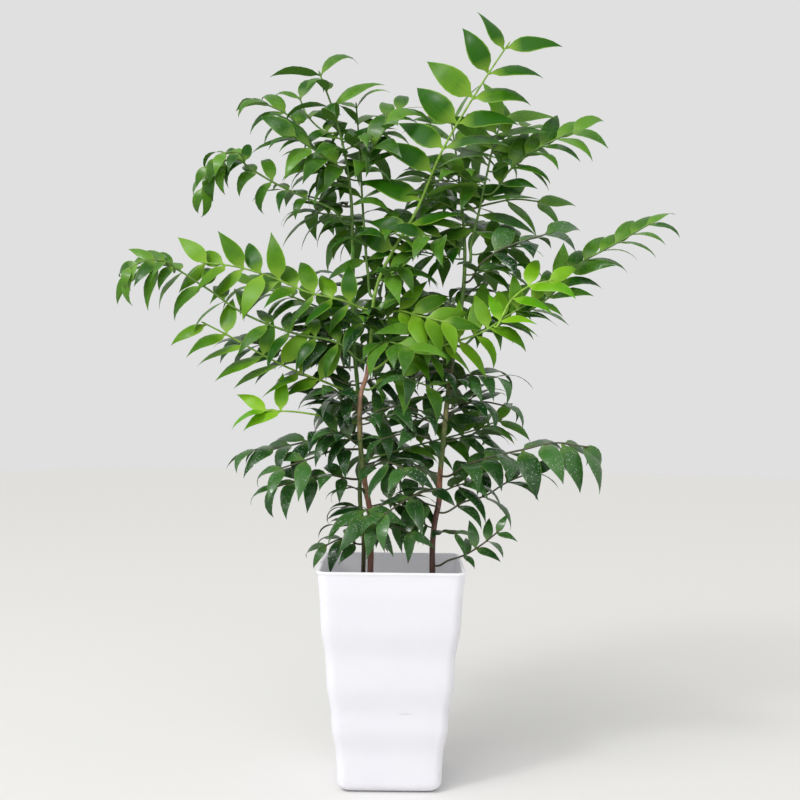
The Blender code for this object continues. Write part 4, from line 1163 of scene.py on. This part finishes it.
def add_twig(bm, twig):
    """Add the twig's tube, sunk in what it grows from, a little uneven, and drawn out to a bud."""
    line = smooth_route(twig.line, TWIG_STEP)
    inward = (line[0] - line[1]).normalized() * TWIG_SINK * MM
    onward = (line[-1] - line[-2]).normalized() * BUD_LENGTH * MM
    line = [line[0] + inward, *line, line[-1] + onward]
    radii = []
    for index, point in enumerate(line):
        radius = twig.radius(index / (len(line) - 1))
        radii.append(radius * (1 + 0.08 * noise.noise(point / (6 * MM))))
    radii[0] *= 0.85
    radii[-2] *= 1.15
    radii[-1] = BUD_RADIUS
    sweep(bm, line, radii, TWIG_SIDES)


# How much paler than their tone the leaves of some shoots are. For spray_middle_dark it is painted light:
# its leaves are made paler against the shade in the middle of the plant.
PALENESS_AND_PAINTED_LIGHT = {"leader": -0.6, "spray_left_row": -0.05, "spray_left_light": 0.15, "spray_right_light": 0.1,
          "spray_middle_dark": 0.2}
# How leaves differ: the mean and spread of a draw, or its range
HOLLOWS = (-0.14, 0.15)
TWISTS = (0.0, 0.22)  # radians
WAVES = (0.02, 0.1)
LEAF_SHADES = (0.2, 0.28)
PALER_TO_TIP = 0.45  # how much paler the twig's last leaves are than its first

leaf_materials = {tone: living_leaf(tone, finish) for tone, finish in FINISHES.items()}
twig_materials = {tone: twig_skin(tone, finish.twig) for tone, finish in FINISHES.items()}


def add_foliage(name, shoots, node):
    """Join the twigs and fine leaves of some shoots of one tone in one piece."""
    bm = bmesh.new()
    layers = {"leaf": bm.loops.layers.uv.new("leaf"), "shade": bm.faces.layers.float.new("shade"),
              "under": bm.faces.layers.float.new("under")}
    for shoot in shoots:
        add_twig(bm, twigs[shoot.name])
    for face in bm.faces:
        face.material_index = 1
    owners = {shoot.name for shoot in shoots}
    draw = random.Random(name)
    for leaf in leaves:
        if leaf.owner in owners:
            # A leaf's shade takes in its shoot's paleness, which for spray_middle_dark is painted light
            habit = Habit(draw.gauss(*HOLLOWS), draw.gauss(*TWISTS), draw.uniform(*WAVES), draw.random(),
                          draw.gauss(*LEAF_SHADES) + PALER_TO_TIP * leaf.share + PALENESS_AND_PAINTED_LIGHT.get(leaf.owner, 0.0))
            add_leaf(bm, layers, leaf, twigs[leaf.owner].shift(leaf.share), habit)
    bmesh.ops.recalc_face_normals(bm, faces=bm.faces)
    tone = shoots[0].tone
    piece = finish_piece(name, bm, [leaf_materials[tone], twig_materials[tone]], node, "leaf_" + tone)
    piece.data.set_sharp_from_angle(angle=math.radians(60))


for shoot in SHOOTS:
    add_foliage(shoot.name + "_foliage", [shoot], shoot.name)

# The small sprays
# Twigs with a few leaves each, which fill the plant near its stems and behind the larger shoots. They have
# no solids of their own, grow as the larger ones do, and are joined by what they grow from and their tone.

GOLDEN_ANGLE = math.radians(137.5)  # from one spray round a stem to the next
INNER_STEP = 20  # mm up the stem from one spray to the next
INNER_ROUTE = ((18, 5), (40, 12))  # out and up, mm
BACKWARD_REACH = 1.1  # how much longer a spray is that grows straight back
FORWARD_LIMIT = 0.8  # no spray points forward more than this, towards the large leaves in front

# What they grow round, between which heights, the first one's bearing, and their tone
INNER_SPRAYS = (
    ("stem_left_green", 300, 500, 200, "dark"), ("stem_left_green", 510, 640, 40, "mid"),
    ("stem_left_brown", 330, 500, 20, "dark"), ("stem_right_brown", 310, 500, 70, "dark"),
    ("stem_right_brown", 505, 560, 110, "mid"), ("top_left", 665, 840, 0, "mid"),
    ("shoot_up_left", 610, 820, 60, "mid"), ("leader", 525, 640, 120, "mid"),
    ("top_right", 575, 800, 100, "mid"), ("shoot_right", 640, 800, 20, "mid"))

# Those that stand behind or between the larger ones
MORE_SHOOTS = [
    shaded("spray_left_behind", "stem_left_green", 500, [(-90, 15, 505), (-140, 15, 520), (-185, 5, 533)],
           pairs=6, slim=0.15, roll=30, droop=20, arch=75),
    Shoot("spray_row_behind", "stem_left_green", 557, [(-95, 25, 575), (-140, 30, 592), (-182, 25, 602)],
          pairs=7, roll=35, arch=75),
    shaded("spray_left_short", "stem_left_green", 525, [(-80, -5, 530), (-106, -12, 528)], foot=1.3,
           pairs=3, slim=0.15, roll=20, arch=85),
    shaded("spray_left_shorter", "stem_left_green", 478, [(-80, 5, 488), (-104, 0, 486)], foot=1.3,
           pairs=3, slim=0.15, roll=20, arch=85),
    Shoot("spray_top_left_front", "top_left", 702, [(-72, -25, 722), (-88, -48, 740)], foot=1.3, leaf=68,
          arch=75),
    Shoot("spray_top_left_outer", "top_left", 742, [(-95, -30, 757), (-118, -48, 768)], foot=1.3, leaf=68,
          arch=80),
    Shoot("spray_top_centre", "shoot_up_left", 690, [(-20, -18, 705), (6, -32, 716)], foot=1.3, leaf=66,
          arch=70),
    Shoot("spray_top_under", "shoot_up_left", 648, [(-66, -28, 668), (-88, -44, 684)], foot=1.3, leaf=66,
          slim=0.15, roll=35, arch=80),
    Shoot("spray_crown_left", "shoot_up_left", 800, [(-55, -10, 822), (-66, -18, 842)], foot=1.2, pairs=3,
          slim=0.15, roll=30, whorl=40, arch=85),
    Shoot("spray_right_front", "top_right", 700, [(103, -10, 712), (128, -32, 722)], foot=1.3, leaf=70,
          roll=50, arch=65),
    Shoot("spray_right_inner", "top_right", 737, [(50, -8, 752), (28, -22, 762)], foot=1.3, leaf=66,
          arch=70),
    Shoot("spray_right_under", "top_right", 668, [(52, 0, 686), (28, -8, 696)], foot=1.3, leaf=66, roll=40,
          arch=70),
    Shoot("spray_right_outer", "shoot_right", 690, [(132, -18, 702), (158, -28, 708)], foot=1.3, leaf=68,
          roll=40, arch=65),
    Shoot("spray_right_crown", "shoot_right", 748, [(98, -8, 768), (84, -14, 788)], foot=1.3, leaf=66,
          arch=65),
    Shoot("spray_right_between", "stem_right_brown", 548, [(108, -18, 566), (138, -28, 580)], foot=1.3,
          roll=40, arch=70),
    Shoot("spray_right_back_low", "top_right", 585, [(112, 22, 597), (148, 26, 606), (178, 22, 610)],
          pairs=5, leaf=64, roll=35, arch=75),
    Shoot("spray_left_far_tip", "spray_left_far", 608, [(-256, -70, 611), (-284, -83, 618),
          (-304, -88, 608)], foot=1.1, pairs=6, leaf=40, roll=50, spread=(50, 45), droop=45, arch=85),
    Shoot("spray_left_arching_tip", "spray_left_arching", 738, [(-184, -40, 750), (-206, -50, 748),
          (-222, -56, 732)], foot=1.1, pairs=5, leaf=38, slim=0.17, roll=40, spread=(50, 45), droop=45,
          arch=90),
    shaded("spray_foot_upper", "stem_left_green", 348, [(-50, -14, 354), (-60, -20, 352)], foot=1.0,
           pairs=2, first=0.4, leaf=38, slim=0.08, roll=8, arch=115),
    shaded("spray_foot_middle", "stem_left_green", 326, [(-50, -14, 332), (-60, -20, 330)], foot=1.0,
           pairs=2, first=0.4, leaf=40, slim=0.08, roll=8, arch=115),
    shaded("spray_foot_lower", "stem_left_green", 300, [(-52, -12, 308), (-64, -18, 307)], foot=1.0,
           pairs=2, first=0.4, leaf=42, slim=0.08, roll=8, arch=110),
    shaded("spray_foot_centre", "stem_left_brown", 312, [(-10, -8, 317), (2, -16, 314)], foot=1.0, pairs=2,
           first=0.4, leaf=46, slim=0.12, roll=30, droop=40, arch=70),
    shaded("spray_foot_inner", "stem_right_brown", 304, [(38, -8, 310), (26, -16, 307)], foot=1.0, pairs=2,
           first=0.4, leaf=46, slim=0.12, roll=30, droop=40, arch=70),
    shaded("spray_foot_outer", "stem_right_brown", 296, [(64, -10, 303), (76, -16, 301)], foot=1.0,
           pairs=2, first=0.4, leaf=48, slim=0.12, roll=20, droop=30, arch=75),
    Shoot("spray_middle_dark", "stem_right_brown", 540, [(52, -24, 545), (28, -44, 545)], foot=1.3,
          roll=35, arch=70),
]


def add_small_shoot(shoot):
    """Grow a small shoot's twig, where it misses every other twig and every leaf."""
    parent = twigs[shoot.grows_from]
    line = twig_line(shoot, parent, list(twigs.values()))
    twig = Twig(shoot.name, line, shoot.foot * MM, TWIG_END_RADIUS, 0)
    if not clear_line(line, twig.foot, list(twigs.values()), parent):
        return
    if any(twig.tree.overlap(leaf.tree) for leaf in leaves):
        return
    twigs[shoot.name] = twig
    small_shoots.append(shoot)


small_shoots = []
for shoot in MORE_SHOOTS:
    add_small_shoot(shoot)
for axis, low, high, bearing, tone in INNER_SPRAYS:
    parent = twigs[axis]
    for index in range(int((high - low) / INNER_STEP)):
        height = low + index * INNER_STEP
        angle = math.radians(bearing) + index * GOLDEN_ANGLE
        outward = Vector((math.cos(angle), math.sin(angle), 0))
        if outward.y < -FORWARD_LIMIT:
            continue
        root = parent.at_height(height * MM) / MM
        stretch = 1 + BACKWARD_REACH * max(outward.y, 0)
        route = [root + outward * reach * stretch + Vector((0, 0, rise)) for reach, rise in INNER_ROUTE]
        add_small_shoot(Shoot(f"{axis}_inner_{index}", axis, height, route, foot=1.1,
                              pairs=round(4 * stretch ** 0.6), first=0.3, slim=0.15, roll=25, whorl=35,
                              droop=15, arch=80, tone=tone))
for shoot in small_shoots:
    grow_leaves(shoot, twigs[shoot.name], list(twigs.values()), leaves, solids)
joined = {}
for shoot in small_shoots:
    joined.setdefault(f"{shoot.grows_from}_small_sprays_{shoot.tone}", []).append(shoot)
for name, shoots in joined.items():
    add_foliage(name, shoots, None)

# The studio
# A plain pale floor, a soft grey surround, a broad light from the sky, a soft light from the upper left and a
# weaker one from in front, and a level camera at the height of the plant's middle.

FLOOR_RADIUS = 6.0
FLOOR_DROP = 0.5 * MM  # under the pot's foot
FLOOR_COLOUR = "#DAD9D6"
SURROUND_COLOUR = "#E0E0E0"
CAMERA_PLACE = (0.008, -1.36, 0.4604)
CAMERA_ROLL = 0.0105  # rise of the camera's right side over its width

floor_bm = bmesh.new()
bmesh.ops.create_circle(floor_bm, cap_ends=True, segments=96, radius=FLOOR_RADIUS)
floor_mesh = bpy.data.meshes.new("floor")
floor_bm.to_mesh(floor_mesh)
floor_bm.free()
floor = bpy.data.objects.new("floor", floor_mesh)
bpy.context.scene.collection.objects.link(floor)
floor.location.z = -FLOOR_DROP
painted = blank_material("pale_floor")
shader = add_node(painted, "BsdfPrincipled", {"Base Color": srgb(FLOOR_COLOUR), "Roughness": 0.9})
add_node(painted, "OutputMaterial", {"Surface": shader})
floor_mesh.materials.append(painted)

world = bpy.data.worlds.new("studio")
world.use_nodes = True
world.node_tree.nodes["Background"].inputs["Color"].default_value = srgb(SURROUND_COLOUR)
world.node_tree.nodes["Background"].inputs["Strength"].default_value = 1.0
bpy.context.scene.world = world


def add_softbox(name, place, target, size, power):
    """A square soft light at a place, turned to what it lights."""
    light = bpy.data.lights.new(name, "AREA")
    light.size = size
    light.energy = power
    softbox = bpy.data.objects.new(name, light)
    bpy.context.scene.collection.objects.link(softbox)
    softbox.location = place
    softbox.rotation_euler = (Vector(target) - Vector(place)).to_track_quat("-Z", "Y").to_euler()


sky = bpy.data.lights.new("sky", "SUN")
sky.energy = 1.35
sky.angle = math.radians(50)
sky_light = bpy.data.objects.new("sky", sky)
bpy.context.scene.collection.objects.link(sky_light)
sky_light.rotation_euler = Vector((0.5, 0.6, -0.75)).to_track_quat("-Z", "Y").to_euler()
add_softbox("key", (-1.3, -1.5, 2.2), (0, 0, 0.45), 0.42, 20)
add_softbox("fill", (0.4, -2.5, 1.4), (0, 0, 0.3), 1.5, 6.2)

lens = bpy.data.cameras.new("camera")
lens.lens = 50
lens.sensor_width = 36
camera = bpy.data.objects.new("camera", lens)
bpy.context.scene.collection.objects.link(camera)
right = Vector((1, 0, CAMERA_ROLL)).normalized()
up = Vector((-CAMERA_ROLL, 0, 1)).normalized()
camera.matrix_world = Matrix.Translation(CAMERA_PLACE) @ Matrix(
    (right, up, right.cross(up))).transposed().to_4x4()
bpy.context.scene.camera = camera
bpy.context.scene.view_settings.view_transform = "Standard"
